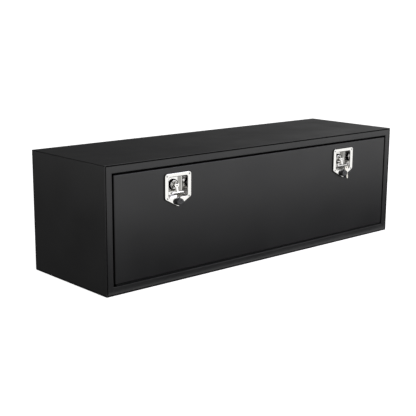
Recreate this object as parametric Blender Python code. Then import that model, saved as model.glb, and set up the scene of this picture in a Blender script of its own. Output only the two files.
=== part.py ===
"""Underbody truck tool box: a folded steel case, a drop-down door and two folding T-handle latches.

Metres, +Z up. The origin is the centre of the bottom face. The door faces -Y and +X is the longest way.
Left and right are as seen from the front.
"""

import math

import bmesh
import bpy
from mathutils import Matrix, Vector

# Case
BOX_LENGTH = 1.524
BOX_DEPTH = 0.4572
BOX_HEIGHT = 0.4572
SHEET = 0.0019
FOLD_RADIUS = 0.004
FOLD_STEPS = 3
CASE_FLANGE = 0.020
CLEARANCE = 0.0003
CUT_OVERRUN = 0.002

# Front frame and seal
SIDE_BORDER = 0.0310
TOP_BORDER = 0.0315
LIP_DEPTH = 0.028
LANDING = 0.013
SEAL_INSET = 0.0015
SEAL_WIDTH = 0.010
SEAL_HEIGHT = 0.003
SEAL_ROUND = 0.001

# Door
DOOR_GAP = 0.005
DOOR_FLANGE = 0.024
DOOR_SWING = math.radians(90)

# Piano hinge: its axis lies in the bottom gap of the door
HINGE_HEIGHT = 0.035
HINGE_INSET = 0.002
KNUCKLE_RADIUS = 0.0025
LEAF = 0.0012
LEAF_WIDTH = 0.020
KNUCKLE_COUNT = 29
KNUCKLE_GAP = 0.0004
KNUCKLE_WRAP = math.radians(280)
KNUCKLE_STEPS = 8
HINGE_END = 0.006
HINGE_PIN_RADIUS = 0.0010

# Door stiffeners
STIFFENER_SHARE = 0.47
STIFFENER_BASE = 0.060
STIFFENER_CROWN = 0.030
STIFFENER_DEPTH = 0.018
STIFFENER_SHEET = 0.0012
STIFFENER_FOLD = 0.002
STIFFENER_MARGIN = 0.012

# Door stays: a slotted arm pivots on the door and slides over a stud on the frame
STAY_INSET = 0.0108
STAY_SHEET = 0.003
STAY_WIDTH = 0.022
STAY_END = 0.005
STAY_PIVOT_DEPTH = 0.024
STAY_PIVOT_RISE = 0.190
STAY_STUD_DEPTH = 0.075
STAY_PIN_RADIUS = 0.004
STAY_HEAD_RADIUS = 0.007
STAY_HEAD = 0.003
STAY_WASHER_GAP = 0.001
BRACKET_SHEET = 0.003
BRACKET_HEIGHT = 0.030
BRACKET_FOOT = 0.022

# Latches
LATCH_INSET = 0.314
HUB_DROP = 0.0680
DISH_WIDTH = 0.121
DISH_TOP = 0.0465
DISH_SHOULDER = 0.0450
DISH_TIP = 0.0775
DISH_CORNER = 0.008
DISH_SHOULDER_CORNER = 0.006
DISH_SHEET = 0.0018
DISH_EDGE_BEVEL = 0.0007
GASKET = 0.003
PAN_WIDTH = 0.088
PAN_TOP = 0.0325
PAN_BOTTOM = 0.0420
PAN_CORNER = 0.008
PAN_DEPTH = 0.030
PAN_HOLE_EASE = 0.0008

# Latch spindle and cross pin
SPINDLE_RADIUS = 0.007
SPINDLE_TAIL_RADIUS = 0.006
HEAD_RADIUS = 0.016
HEAD_THICKNESS = 0.004
BOSS_RADIUS = 0.0105
BOSS_LEAD = 0.006
FORK_DEPTH = 0.0065
PIVOT_DEPTH = 0.014
PIVOT_RADIUS = 0.0025
TURNED_EDGE = 0.001
CLIP_RADIUS = 0.012
CLIP_THICKNESS = 0.0015

# T-handle
HANDLE_WIDTH = 0.008
HANDLE_THICKNESS = 0.009
HANDLE_NECK = 0.007
HANDLE_EYE = 0.006
TBAR_LENGTH = 0.061
TBAR_RADIUS = 0.0050
TBAR_DEPTH = 0.0065
TBAR_DROP = 0.0265
HANDLE_SWING = math.radians(90)

# Cam, its nut and the striker behind the frame's top landing
CAM = 0.003
CAM_LAP = 0.009
CAM_TIP = 0.018
CAM_HUB = 0.014
CAM_TAIL = 0.030
CAM_TAIL_INNER = 0.005
CAM_TAIL_OUTER = 0.016
CAM_CORNER = 0.003
CAM_CLEARANCE = 0.0005
NUT_THICKNESS = 0.005
NUT_RADIUS = 0.0095
THREAD_END = 0.002
STRIKER = 0.0025
STRIKER_WIDTH = 0.044
LANDING_MARGIN = 0.001

# Cylinder lock, its pawl and its dust cap
LOCK_DROP = 0.0597
BARREL_RADIUS = 0.0095
BEZEL_RADIUS = 0.0112
BEZEL = 0.0030
PLUG_RADIUS = 0.006
PLUG_TAIL_RADIUS = 0.0042
KEYWAY_WIDTH = 0.0016
KEYWAY_HEIGHT = 0.0085
KEYWAY_DEPTH = 0.014
LOCK_NUT = 0.005
LOCK_NUT_RADIUS = 0.0150
PAWL = 0.0025
PAWL_WIDTH = 0.008
PAWL_REACH = 0.038
CAP_RADIUS = 0.0137
CAP_DEPTH = 0.0135
CAP_WALL = 0.0016
CAP_ROUND = 0.002
CAP_HINGE_DROP = 0.0441
CAP_HINGE_PROUD = 0.0022
CAP_KNUCKLE_RADIUS = 0.0017
CAP_BORE_RADIUS = 0.0012
CAP_PIN_RADIUS = 0.0008
CAP_KNUCKLE_HALF = 0.0046
CAP_EAR_GAP = 0.0004
CAP_EAR = 0.0018
CAP_EAR_ROUND = 0.0014

# Key on its ring, round the right handle's bar
KEY_OFFSET = 0.0195
RING_RADIUS = 0.0090
RING_WIRE = 0.0006
RING_LEAN = math.radians(30)
KEY_THICKNESS = 0.002
KEY_PROUD = 0.0021
KEY_BOW = 0.010
KEY_HOLE = 0.0026
KEY_HOLE_EDGE = 0.0029
KEY_BLADE = 0.0085
KEY_LENGTH = 0.054
KEY_NOTCH = 0.0012
KEY_NOTCHES = 4

# Facets
FINE = 28
ROUND = 20
SMALL = 16
CORNER_STEPS = 4
SMOOTH_ANGLE = math.radians(35)

# Places worked out from the sizes above
FRONT = -BOX_DEPTH / 2
REAR = BOX_DEPTH / 2
NEST = SHEET + CLEARANCE
BOTTOM_BORDER = HINGE_HEIGHT - KNUCKLE_RADIUS - CLEARANCE
DOOR_BOTTOM = HINGE_HEIGHT + KNUCKLE_RADIUS + CLEARANCE
DOOR_TOP = BOX_HEIGHT - TOP_BORDER - DOOR_GAP
DOOR_HALF = BOX_LENGTH / 2 - SIDE_BORDER - DOOR_GAP
HINGE_DEPTH = FRONT + HINGE_INSET
LATCH_OFFSET = BOX_LENGTH / 2 - LATCH_INSET
HUB_HEIGHT = DOOR_TOP - HUB_DROP
CAM_REACH = HUB_DROP + DOOR_GAP - LANDING + CAM_LAP
STAY_PLATE = BOX_LENGTH / 2 - SIDE_BORDER - LANDING + LANDING_MARGIN
STAY_OFFSET = STAY_PLATE - STAY_INSET
PROUD = GASKET + DISH_SHEET + 2 * CLEARANCE
LANDING_REAR = LIP_DEPTH + SHEET
CAM_DEPTH = LANDING_REAR + CLEARANCE + STRIKER + CAM_CLEARANCE
PAN_REAR = PAN_DEPTH + DISH_SHEET


def material(name, colour, roughness, metallic):
    """A Principled material in one colour."""
    made = bpy.data.materials.new(name)
    made.use_nodes = True
    shader = made.node_tree.nodes["Principled BSDF"]
    shader.inputs["Base Color"].default_value = (*colour, 1)
    shader.inputs["Roughness"].default_value = roughness
    shader.inputs["Metallic"].default_value = metallic
    return made


def empty(name, place, parent=None):
    """A joint's axis, which the pieces of one moving body are parented to."""
    made = bpy.data.objects.new(name, None)
    bpy.context.scene.collection.objects.link(made)
    made.parent = parent
    made.location = Vector(place) - world_place(parent)
    return made


def world_place(thing):
    """The place of an empty that is parented to other unturned empties."""
    place = Vector((0, 0, 0))
    while thing:
        place += thing.location
        thing = thing.parent
    return place


def piece(name, bm, finish, body=None):
    """Makes an object of a mesh in world coordinates, with its origin on its body's axis."""
    if not any(edge.is_boundary for edge in bm.edges):
        bmesh.ops.recalc_face_normals(bm, faces=bm.faces)
    bmesh.ops.translate(bm, verts=bm.verts, vec=-world_place(body))
    mesh = bpy.data.meshes.new(name)
    bm.to_mesh(mesh)
    bm.free()
    mesh.shade_smooth()
    mesh.set_sharp_from_angle(angle=SMOOTH_ANGLE)
    made = bpy.data.objects.new(name, mesh)
    bpy.context.scene.collection.objects.link(made)
    made.parent = body
    if finish:
        mesh.materials.append(finish)
    return made


def tool(name, bm, body=None):
    """A cutter or a joined shape, left out of the finished part."""
    made = piece(name, bm, None, body)
    made.hide_render = True
    made.display_type = "WIRE"
    return made


def combine(target, other, operation):
    """Cuts or joins one solid with another."""
    modifier = target.modifiers.new(other.name, "BOOLEAN")
    modifier.operation = operation
    modifier.object = other


def arc(centre, radius, start, turn, steps):
    """Points of an arc in a plane, both ends included."""
    points = []
    for step in range(steps + 1):
        angle = start + turn * step / steps
        points.append((centre[0] + radius * math.cos(angle), centre[1] + radius * math.sin(angle)))
    return points


def rounded(points, radii, steps=CORNER_STEPS):
    """A closed outline whose corners are rounded, each by its own radius."""
    outline = []
    count = len(points)
    for index, corner in enumerate(points):
        radius = radii[index]
        before = Vector(points[index - 1]) - Vector(corner)
        after = Vector(points[(index + 1) % count]) - Vector(corner)
        if not radius:
            outline.append(tuple(corner))
            continue
        half = before.angle(after) / 2
        bisector = (before.normalized() + after.normalized()).normalized()
        centre = Vector(corner) + bisector * (radius / math.sin(half))
        first = Vector(corner) + before.normalized() * (radius / math.tan(half)) - centre
        last = Vector(corner) + after.normalized() * (radius / math.tan(half)) - centre
        start = math.atan2(first.y, first.x)
        turn = math.atan2(first.x * last.y - first.y * last.x, first.dot(last))
        outline += arc(centre, radius, start, turn, steps)
    return outline


def rectangle(width, low, high, radius=0):
    """A rounded rectangle, centred across and running from low to high."""
    half = width / 2
    corners = [(-half, low), (half, low), (half, high), (-half, high)]
    return rounded(corners, [radius] * len(corners))


def stadium(start, end, radius, steps):
    """A slot's outline along the first axis."""
    quarter = math.pi / 2
    return arc((end, 0), radius, -quarter, math.pi, steps) + arc((start, 0), radius, quarter, math.pi, steps)


def folded(path, thickness, hidden_side, radius=FOLD_RADIUS, steps=FOLD_STEPS):
    """The closed section of a folded sheet.

    The path is the visible face. The sheet lies on its left (hidden_side 1) or its right (-1).
    """
    visible = []
    hidden = []
    for index, point in enumerate(path):
        here = Vector(point)
        coming = (here - Vector(path[max(index - 1, 0)])).normalized()
        going = (Vector(path[min(index + 1, len(path) - 1)]) - here).normalized()
        if index == 0 or index == len(path) - 1:
            way = going if index == 0 else coming
            side = Vector((-way.y, way.x))
            visible.append(here)
            hidden.append(here + side * thickness * hidden_side)
            continue
        left_before = Vector((-coming.y, coming.x))
        left_after = Vector((-going.y, going.x))
        angle = math.atan2(coming.x * going.y - coming.y * going.x, coming.dot(going))
        bend = math.copysign(1, angle)
        visible_radius = radius if bend == hidden_side else radius - thickness
        hidden_radius = radius - thickness if bend == hidden_side else radius
        reach = bend * visible_radius / (1 + left_before.dot(left_after))
        centre = here + (left_before + left_after) * reach
        for step in range(steps + 1):
            turned = Matrix.Rotation(angle * step / steps, 2) @ left_before
            visible.append(centre - turned * bend * visible_radius)
            hidden.append(centre - turned * bend * hidden_radius)
    return [tuple(p) for p in visible] + [tuple(p) for p in reversed(hidden)]


def prism(outline, place, run):
    """A solid made by moving an outline along a vector. place turns a pair of numbers into a point."""
    bm = bmesh.new()
    face = bm.faces.new([bm.verts.new(place(a, b)) for a, b in outline])
    moved = bmesh.ops.extrude_face_region(bm, geom=[face], use_keep_orig=True)
    verts = [item for item in moved["geom"] if isinstance(item, bmesh.types.BMVert)]
    bmesh.ops.translate(bm, verts=verts, vec=run)
    return bm


def block(low, high):
    """A box between two corners."""
    bm = bmesh.new()
    bmesh.ops.create_cube(bm, size=1)
    low = Vector(low)
    high = Vector(high)
    bmesh.ops.scale(bm, verts=bm.verts, vec=high - low)
    bmesh.ops.translate(bm, verts=bm.verts, vec=(low + high) / 2)
    return bm


def turned(profile, place, axis, steps):
    """A solid of revolution. The profile is (distance along the axis, radius) pairs from end to end."""
    bm = bmesh.new()
    axis = Vector(axis)
    across = axis.orthogonal().normalized()
    verts = [bm.verts.new(Vector(place) + axis * along + across * radius) for along, radius in profile]
    edges = [bm.edges.new(pair) for pair in zip(verts, verts[1:])]
    bmesh.ops.spin(bm, geom=verts + edges, cent=place, axis=axis, angle=math.tau, steps=steps, use_merge=True)
    bmesh.ops.remove_doubles(bm, verts=bm.verts, dist=CLEARANCE / FINE)
    return bm


def rod(start, axis, length, radius, steps=ROUND):
    """A plain cylinder."""
    return turned([(0, 0), (0, radius), (length, radius), (length, 0)], start, axis, steps)


def ring_of(sections):
    """A closed frame whose four corners are given as loops of points."""
    bm = bmesh.new()
    loops = [[bm.verts.new(point) for point in section] for section in sections]
    for index, loop in enumerate(loops):
        after = loops[(index + 1) % len(loops)]
        for here in range(len(loop)):
            there = (here + 1) % len(loop)
            bm.faces.new((loop[here], loop[there], after[there], after[here]))
    return bm


def front_ring(section):
    """Sweeps section(border), pairs of inward and backward distance, round the front of the case."""
    side = section(SIDE_BORDER)
    top = section(TOP_BORDER)
    bottom = section(BOTTOM_BORDER)
    half = BOX_LENGTH / 2
    corners = [(-1, bottom, 0, 1), (1, bottom, 0, 1), (1, top, BOX_HEIGHT, -1), (-1, top, BOX_HEIGHT, -1)]
    sections = []
    for sign, level, base, up in corners:
        points = []
        for across, over in zip(side, level):
            points.append((sign * (half - across[0]), FRONT + across[1], base + up * over[0]))
        sections.append(points)
    return ring_of(sections)


def tray(low, high, open_sides, bevel_radius):
    """The outer skin of a folded tray: a box with its open sides left out and its folds rounded."""
    bm = block(low, high)
    for way in open_sides:
        faces = [face for face in bm.faces if face.normal.dot(Vector(way)) > math.cos(SMOOTH_ANGLE)]
        bmesh.ops.delete(bm, geom=faces, context="FACES")
    folds = [edge for edge in bm.edges if not edge.is_boundary]
    bmesh.ops.bevel(
        bm,
        geom=folds,
        offset=bevel_radius,
        offset_type="OFFSET",
        affect="EDGES",
        segments=FOLD_STEPS,
        profile=0.5,
        clamp_overlap=True,
        material=-1,
    )
    return bm


def thicken(target, thickness):
    """Gives a skin its sheet thickness, inwards."""
    modifier = target.modifiers.new("sheet", "SOLIDIFY")
    modifier.thickness = thickness
    modifier.offset = -1
    modifier.use_even_offset = True


def frame_section(border):
    """The front frame: hidden outer flange, visible border, return lip, and landing for the seal."""
    path = [(NEST, CASE_FLANGE), (NEST, 0), (border, 0), (border, LIP_DEPTH), (border + LANDING, LIP_DEPTH)]
    return folded(path, SHEET, 1)


def seal_section(border):
    """The seal's section: flat on the landing, with its front corners rounded."""
    low = border + SEAL_INSET
    high = low + SEAL_WIDTH
    back = LIP_DEPTH - CLEARANCE
    tip = back - SEAL_HEIGHT
    return [
        (low, back),
        (low, tip + SEAL_ROUND),
        (low + SEAL_ROUND, tip),
        (high - SEAL_ROUND, tip),
        (high, tip + SEAL_ROUND),
        (high, back),
    ]


def build_case():
    """The wrap (top, back and floor in one sheet), the end panels, the front frame and the seal."""
    half = BOX_LENGTH / 2
    path = [(FRONT, BOX_HEIGHT), (REAR, BOX_HEIGHT), (REAR, 0), (FRONT, 0)]
    wrap = prism(folded(path, SHEET, -1), lambda a, b: (-half, a, b), (BOX_LENGTH, 0, 0))
    piece("body_wrap", wrap, PAINT)

    for name, sign in (("left", -1), ("right", 1)):
        inner = sign * (half - CASE_FLANGE)
        low = (min(sign * half, inner), FRONT, NEST)
        high = (max(sign * half, inner), REAR - NEST, BOX_HEIGHT - NEST)
        skin = tray(low, high, [(-sign, 0, 0), (0, -1, 0)], FOLD_RADIUS)
        panel = piece("end_panel_" + name, skin, PAINT)
        thicken(panel, SHEET)
        edge = sign * (half - FOLD_RADIUS - CLEARANCE)
        far = sign * (half - CASE_FLANGE - CUT_OVERRUN)
        relief = block(
            (min(edge, far), FRONT - CUT_OVERRUN, -CUT_OVERRUN),
            (max(edge, far), FRONT + CASE_FLANGE + CLEARANCE, BOX_HEIGHT + CUT_OVERRUN),
        )
        combine(panel, tool("relief_" + name, relief), "DIFFERENCE")

    frame = piece("front_frame", front_ring(frame_section), PAINT)
    notch = FOLD_RADIUS + CLEARANCE * 2
    for name, sign in (("left", -1), ("right", 1)):
        for level, base, up in (("bottom", 0, 1), ("top", BOX_HEIGHT, -1)):
            side = sign * (half - notch)
            out = sign * (half + CUT_OVERRUN)
            inner = base + up * (NEST + FOLD_RADIUS)
            outer = base - up * CUT_OVERRUN
            corner = block(
                (min(side, out), FRONT - CUT_OVERRUN, min(inner, outer)),
                (max(side, out), FRONT + CASE_FLANGE + CUT_OVERRUN, max(inner, outer)),
            )
            combine(frame, tool(f"notch_{level}_{name}", corner), "DIFFERENCE")

    piece("door_seal", front_ring(seal_section), RUBBER)


def build_strikers():
    """Wear plates behind the frame's top landing, where the cams bear."""
    low = BOX_HEIGHT - TOP_BORDER - LANDING + LANDING_MARGIN
    high = BOX_HEIGHT - TOP_BORDER - SHEET
    front = FRONT + LANDING_REAR + CLEARANCE
    for name, sign in (("left", -1), ("right", 1)):
        middle = sign * LATCH_OFFSET
        side = STRIKER_WIDTH / 2
        plate = block((middle - side, front, low), (middle + side, front + STRIKER, high))
        piece("striker_" + name, plate, ZINC)


def knuckle_section(up):
    """One rolled knuckle from the leaf's front edge: round the pin and back to the leaf."""
    bore = KNUCKLE_RADIUS - LEAF
    start = math.pi / 2
    outer = arc((0, 0), KNUCKLE_RADIUS, start, KNUCKLE_WRAP, KNUCKLE_STEPS)
    inner = arc((0, 0), bore, start + KNUCKLE_WRAP, -KNUCKLE_WRAP, KNUCKLE_STEPS)
    edge = KNUCKLE_RADIUS + CLEARANCE
    points = [(edge, KNUCKLE_RADIUS)] + outer + inner + [(edge, bore)]
    return [(HINGE_DEPTH + a, HINGE_HEIGHT + up * b) for a, b in points]


def hinge_leaf(up, first):
    """A leaf of the piano hinge. Every second segment of its front edge carries a knuckle."""
    half = DOOR_HALF - HINGE_END
    pitch = 2 * half / KNUCKLE_COUNT
    bm = bmesh.new()
    section = knuckle_section(up)
    top = section[0]
    under = section[-1]
    rear = HINGE_DEPTH + LEAF_WIDTH
    stations = []
    for index in range(KNUCKLE_COUNT):
        start = -half + index * pitch
        carries = index % 2 == first
        ease = KNUCKLE_GAP / 2 if carries else -KNUCKLE_GAP / 2
        low = start + (ease if index else 0)
        high = start + pitch - (ease if index < KNUCKLE_COUNT - 1 else 0)
        stations.append((low, high, carries))
    rings = []
    places = [stations[0][0]] + [high for low, high, carries in stations]
    for x in places:
        corners = [(x, *top), (x, *under), (x, rear, under[1]), (x, rear, top[1])]
        rings.append([bm.verts.new(corner) for corner in corners])
    for index, (before, after) in enumerate(zip(rings, rings[1:])):
        for side in range(len(before)):
            if side == 0 and stations[index][2]:
                continue
            other = (side + 1) % len(before)
            bm.faces.new((before[side], before[other], after[other], after[side]))
    bm.faces.new(rings[0])
    bm.faces.new(rings[-1])
    for index, (before, after) in enumerate(zip(rings, rings[1:])):
        if not stations[index][2]:
            continue
        loops = []
        for ring in (before, after):
            x = ring[0].co.x
            middle = [bm.verts.new((x, a, b)) for a, b in section[1:-1]]
            loops.append([ring[0]] + middle + [ring[1]])
        bm.faces.new(loops[0])
        bm.faces.new(loops[1])
        for side in range(len(loops[0]) - 1):
            bm.faces.new((loops[0][side], loops[0][side + 1], loops[1][side + 1], loops[1][side]))
    return bm


def build_hinge(door):
    """The piano hinge: the frame's leaf, the door's leaf and the pin."""
    piece("hinge_frame_leaf", hinge_leaf(-1, 0), HINGE_STEEL)
    piece("hinge_door_leaf", hinge_leaf(1, 1), HINGE_STEEL, door)
    half = DOOR_HALF - HINGE_END
    pin = rod((-half, HINGE_DEPTH, HINGE_HEIGHT), (1, 0, 0), 2 * half, HINGE_PIN_RADIUS, SMALL)
    piece("hinge_pin", pin, HINGE_STEEL)


def pan_outline(grow):
    """The latch pan's outline about the hub, made larger by grow."""
    return rectangle(PAN_WIDTH + 2 * grow, -PAN_BOTTOM - grow, PAN_TOP + grow, PAN_CORNER + grow)


def build_door(door):
    """The door's folded skin with its latch cut-outs, and the hat channels behind it."""
    low = (-DOOR_HALF, FRONT, DOOR_BOTTOM)
    high = (DOOR_HALF, FRONT + DOOR_FLANGE, DOOR_TOP)
    skin = piece("door_skin", tray(low, high, [(0, 1, 0)], FOLD_RADIUS), PAINT, door)
    thicken(skin, SHEET)
    thickness = SHEET + 2 * CUT_OVERRUN
    for name, sign in (("left", -1), ("right", 1)):
        middle = sign * LATCH_OFFSET
        window = prism(
            pan_outline(DISH_SHEET + PAN_HOLE_EASE),
            lambda a, b: (middle + a, FRONT - CUT_OVERRUN, HUB_HEIGHT + b),
            (0, thickness, 0),
        )
        combine(skin, tool("window_" + name, window, door), "DIFFERENCE")
        start = (middle, FRONT - CUT_OVERRUN, HUB_HEIGHT - LOCK_DROP)
        hole = rod(start, (0, 1, 0), thickness, BARREL_RADIUS + CLEARANCE)
        combine(skin, tool("lock_hole_" + name, hole, door), "DIFFERENCE")


def build_stiffeners(door):
    """Three vertical hat channels behind the door's skin."""
    foot = SHEET + CLEARANCE + STIFFENER_SHEET
    crown = SHEET + CLEARANCE + STIFFENER_DEPTH
    outer = STIFFENER_BASE / 2
    inner = STIFFENER_CROWN / 2
    height = DOOR_TOP - DOOR_BOTTOM - 2 * STIFFENER_MARGIN
    path = [(-outer, foot), (-inner, foot), (-inner, crown), (inner, crown), (inner, foot), (outer, foot)]
    section = folded(path, STIFFENER_SHEET, -1, STIFFENER_FOLD)
    for name, step in (("left", -1), ("middle", 0), ("right", 1)):
        middle = step * LATCH_OFFSET * STIFFENER_SHARE
        hat = prism(
            section,
            lambda a, b: (middle + a, FRONT + b, DOOR_BOTTOM + STIFFENER_MARGIN),
            (0, 0, height),
        )
        piece("door_stiffener_" + name, hat, PAINT, door)


def stay_places():
    """The stay's pivot on the door, its stud on the frame and the arm's slope with the door closed.

    Pivot and stud lie at the same distance from the hinge, so the arm turns by half the door's angle.
    """
    pivot_depth = STAY_PIVOT_DEPTH - HINGE_INSET
    stud_depth = STAY_STUD_DEPTH - HINGE_INSET
    reach = math.hypot(pivot_depth, STAY_PIVOT_RISE)
    stud_rise = math.sqrt(reach * reach - stud_depth * stud_depth)
    slope = math.atan2(stud_rise - STAY_PIVOT_RISE, stud_depth - pivot_depth)
    closed = math.hypot(stud_depth - pivot_depth, stud_rise - STAY_PIVOT_RISE)
    apart = math.atan2(stud_depth, stud_rise) - math.atan2(pivot_depth, STAY_PIVOT_RISE)
    opened = 2 * reach * math.sin((apart + DOOR_SWING) / 2)
    pivot = (FRONT + STAY_PIVOT_DEPTH, HINGE_HEIGHT + STAY_PIVOT_RISE)
    stud = (FRONT + STAY_STUD_DEPTH, HINGE_HEIGHT + stud_rise)
    return pivot, stud, slope, closed, opened


def shoulder_pin(start, way, plate, gap, arm):
    """A shoulder rivet: through its plate, a collar, the arm's bore and a head."""
    head = plate + gap + arm + 2 * CLEARANCE
    shank = STAY_PIN_RADIUS - CLEARANCE
    profile = [
        (0, 0),
        (0, shank),
        (plate + CLEARANCE, shank),
        (plate + CLEARANCE, STAY_HEAD_RADIUS),
        (plate + gap, STAY_HEAD_RADIUS),
        (plate + gap, shank),
        (head, shank),
        (head, STAY_HEAD_RADIUS),
        (head + STAY_HEAD, STAY_HEAD_RADIUS),
        (head + STAY_HEAD, 0),
    ]
    return turned(profile, start, way, SMALL)


def build_stays(door):
    """Both stay arms with their brackets and shoulder rivets."""
    pivot, stud, slope, closed, opened = stay_places()
    half_height = BRACKET_HEIGHT / 2
    drill = BRACKET_SHEET + 2 * CUT_OVERRUN
    for name, sign in (("left", -1), ("right", 1)):
        arm_inner = STAY_OFFSET - STAY_SHEET / 2
        arm_outer = STAY_OFFSET + STAY_SHEET / 2
        door_plate = arm_outer + STAY_WASHER_GAP + CLEARANCE

        axis = empty("stay_axis_" + name, (sign * STAY_OFFSET, *pivot), door)
        place = world_place(axis)
        arm = prism(
            stadium(0, opened + STAY_END, STAY_WIDTH / 2, SMALL // 2),
            lambda a, b: place + Vector((-STAY_SHEET / 2, a, b)),
            (STAY_SHEET, 0, 0),
        )
        arm = piece("stay_arm_" + name, arm, ZINC, axis)
        arm.rotation_euler.x = slope
        wide = STAY_SHEET + 2 * CUT_OVERRUN
        for label, low, high in (("bore", 0, 0), ("slot", closed - CLEARANCE, opened + CLEARANCE)):
            hole = prism(
                stadium(low, high, STAY_PIN_RADIUS, SMALL // 2),
                lambda a, b: place + Vector((-wide / 2, a, b)),
                (wide, 0, 0),
            )
            cutter = tool(f"stay_{label}_{name}", hole, axis)
            cutter.rotation_euler.x = slope
            combine(arm, cutter, "DIFFERENCE")

        near = SHEET + CLEARANCE
        outline = folded(
            [
                (door_plate - BRACKET_FOOT, near + BRACKET_SHEET),
                (door_plate, near + BRACKET_SHEET),
                (door_plate, STAY_PIVOT_DEPTH + STAY_WIDTH / 2),
            ],
            BRACKET_SHEET,
            -1,
        )
        bracket = prism(
            outline,
            lambda a, b: (sign * a, FRONT + b, pivot[1] - half_height),
            (0, 0, BRACKET_HEIGHT),
        )
        bracket = piece("door_stay_bracket_" + name, bracket, ZINC, door)
        outer = door_plate + BRACKET_SHEET
        start = (sign * outer, *pivot)
        way = (-sign, 0, 0)
        bore = rod((sign * (outer + CUT_OVERRUN), *pivot), way, drill, STAY_PIN_RADIUS, SMALL)
        combine(bracket, tool("door_bracket_bore_" + name, bore, door), "DIFFERENCE")
        gap = door_plate - arm_outer - CLEARANCE
        pin = shoulder_pin(start, way, BRACKET_SHEET, gap, STAY_SHEET)
        piece("stay_pivot_pin_" + name, pin, ZINC, door)

        near = LANDING_REAR + CLEARANCE
        outline = folded(
            [
                (STAY_PLATE, STAY_STUD_DEPTH + STAY_WIDTH / 2),
                (STAY_PLATE, near),
                (BOX_LENGTH / 2 - SIDE_BORDER, near),
            ],
            BRACKET_SHEET,
            1,
        )
        bracket = prism(
            outline,
            lambda a, b: (sign * a, FRONT + b, stud[1] - half_height),
            (0, 0, BRACKET_HEIGHT),
        )
        bracket = piece("frame_stay_bracket_" + name, bracket, ZINC)
        outer = STAY_PLATE + BRACKET_SHEET
        start = (sign * outer, *stud)
        bore = rod((sign * (outer + CUT_OVERRUN), *stud), way, drill, STAY_PIN_RADIUS, SMALL)
        combine(bracket, tool("frame_bracket_bore_" + name, bore), "DIFFERENCE")
        gap = STAY_PLATE - arm_outer - CLEARANCE
        pin = shoulder_pin(start, way, BRACKET_SHEET, gap, STAY_SHEET)
        piece("stay_stud_" + name, pin, ZINC)


def latch_place(sign):
    """Turns latch coordinates (across, depth behind the dish's face, above the hub) into a point."""
    return lambda a, w, b: Vector((sign * LATCH_OFFSET + a, FRONT - PROUD + w, HUB_HEIGHT + b))


def home_plate(inset=0):
    """The dish's outline: square at the top and pointed at the bottom."""
    half = DISH_WIDTH / 2 - inset
    points = [
        (-half, DISH_TOP - inset),
        (-half, -DISH_SHOULDER),
        (0, inset - DISH_TIP),
        (half, -DISH_SHOULDER),
        (half, DISH_TOP - inset),
    ]
    radii = [DISH_CORNER, DISH_SHOULDER_CORNER, DISH_CORNER, DISH_SHOULDER_CORNER, DISH_CORNER]
    return rounded(points, [radius - inset for radius in radii])


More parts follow.
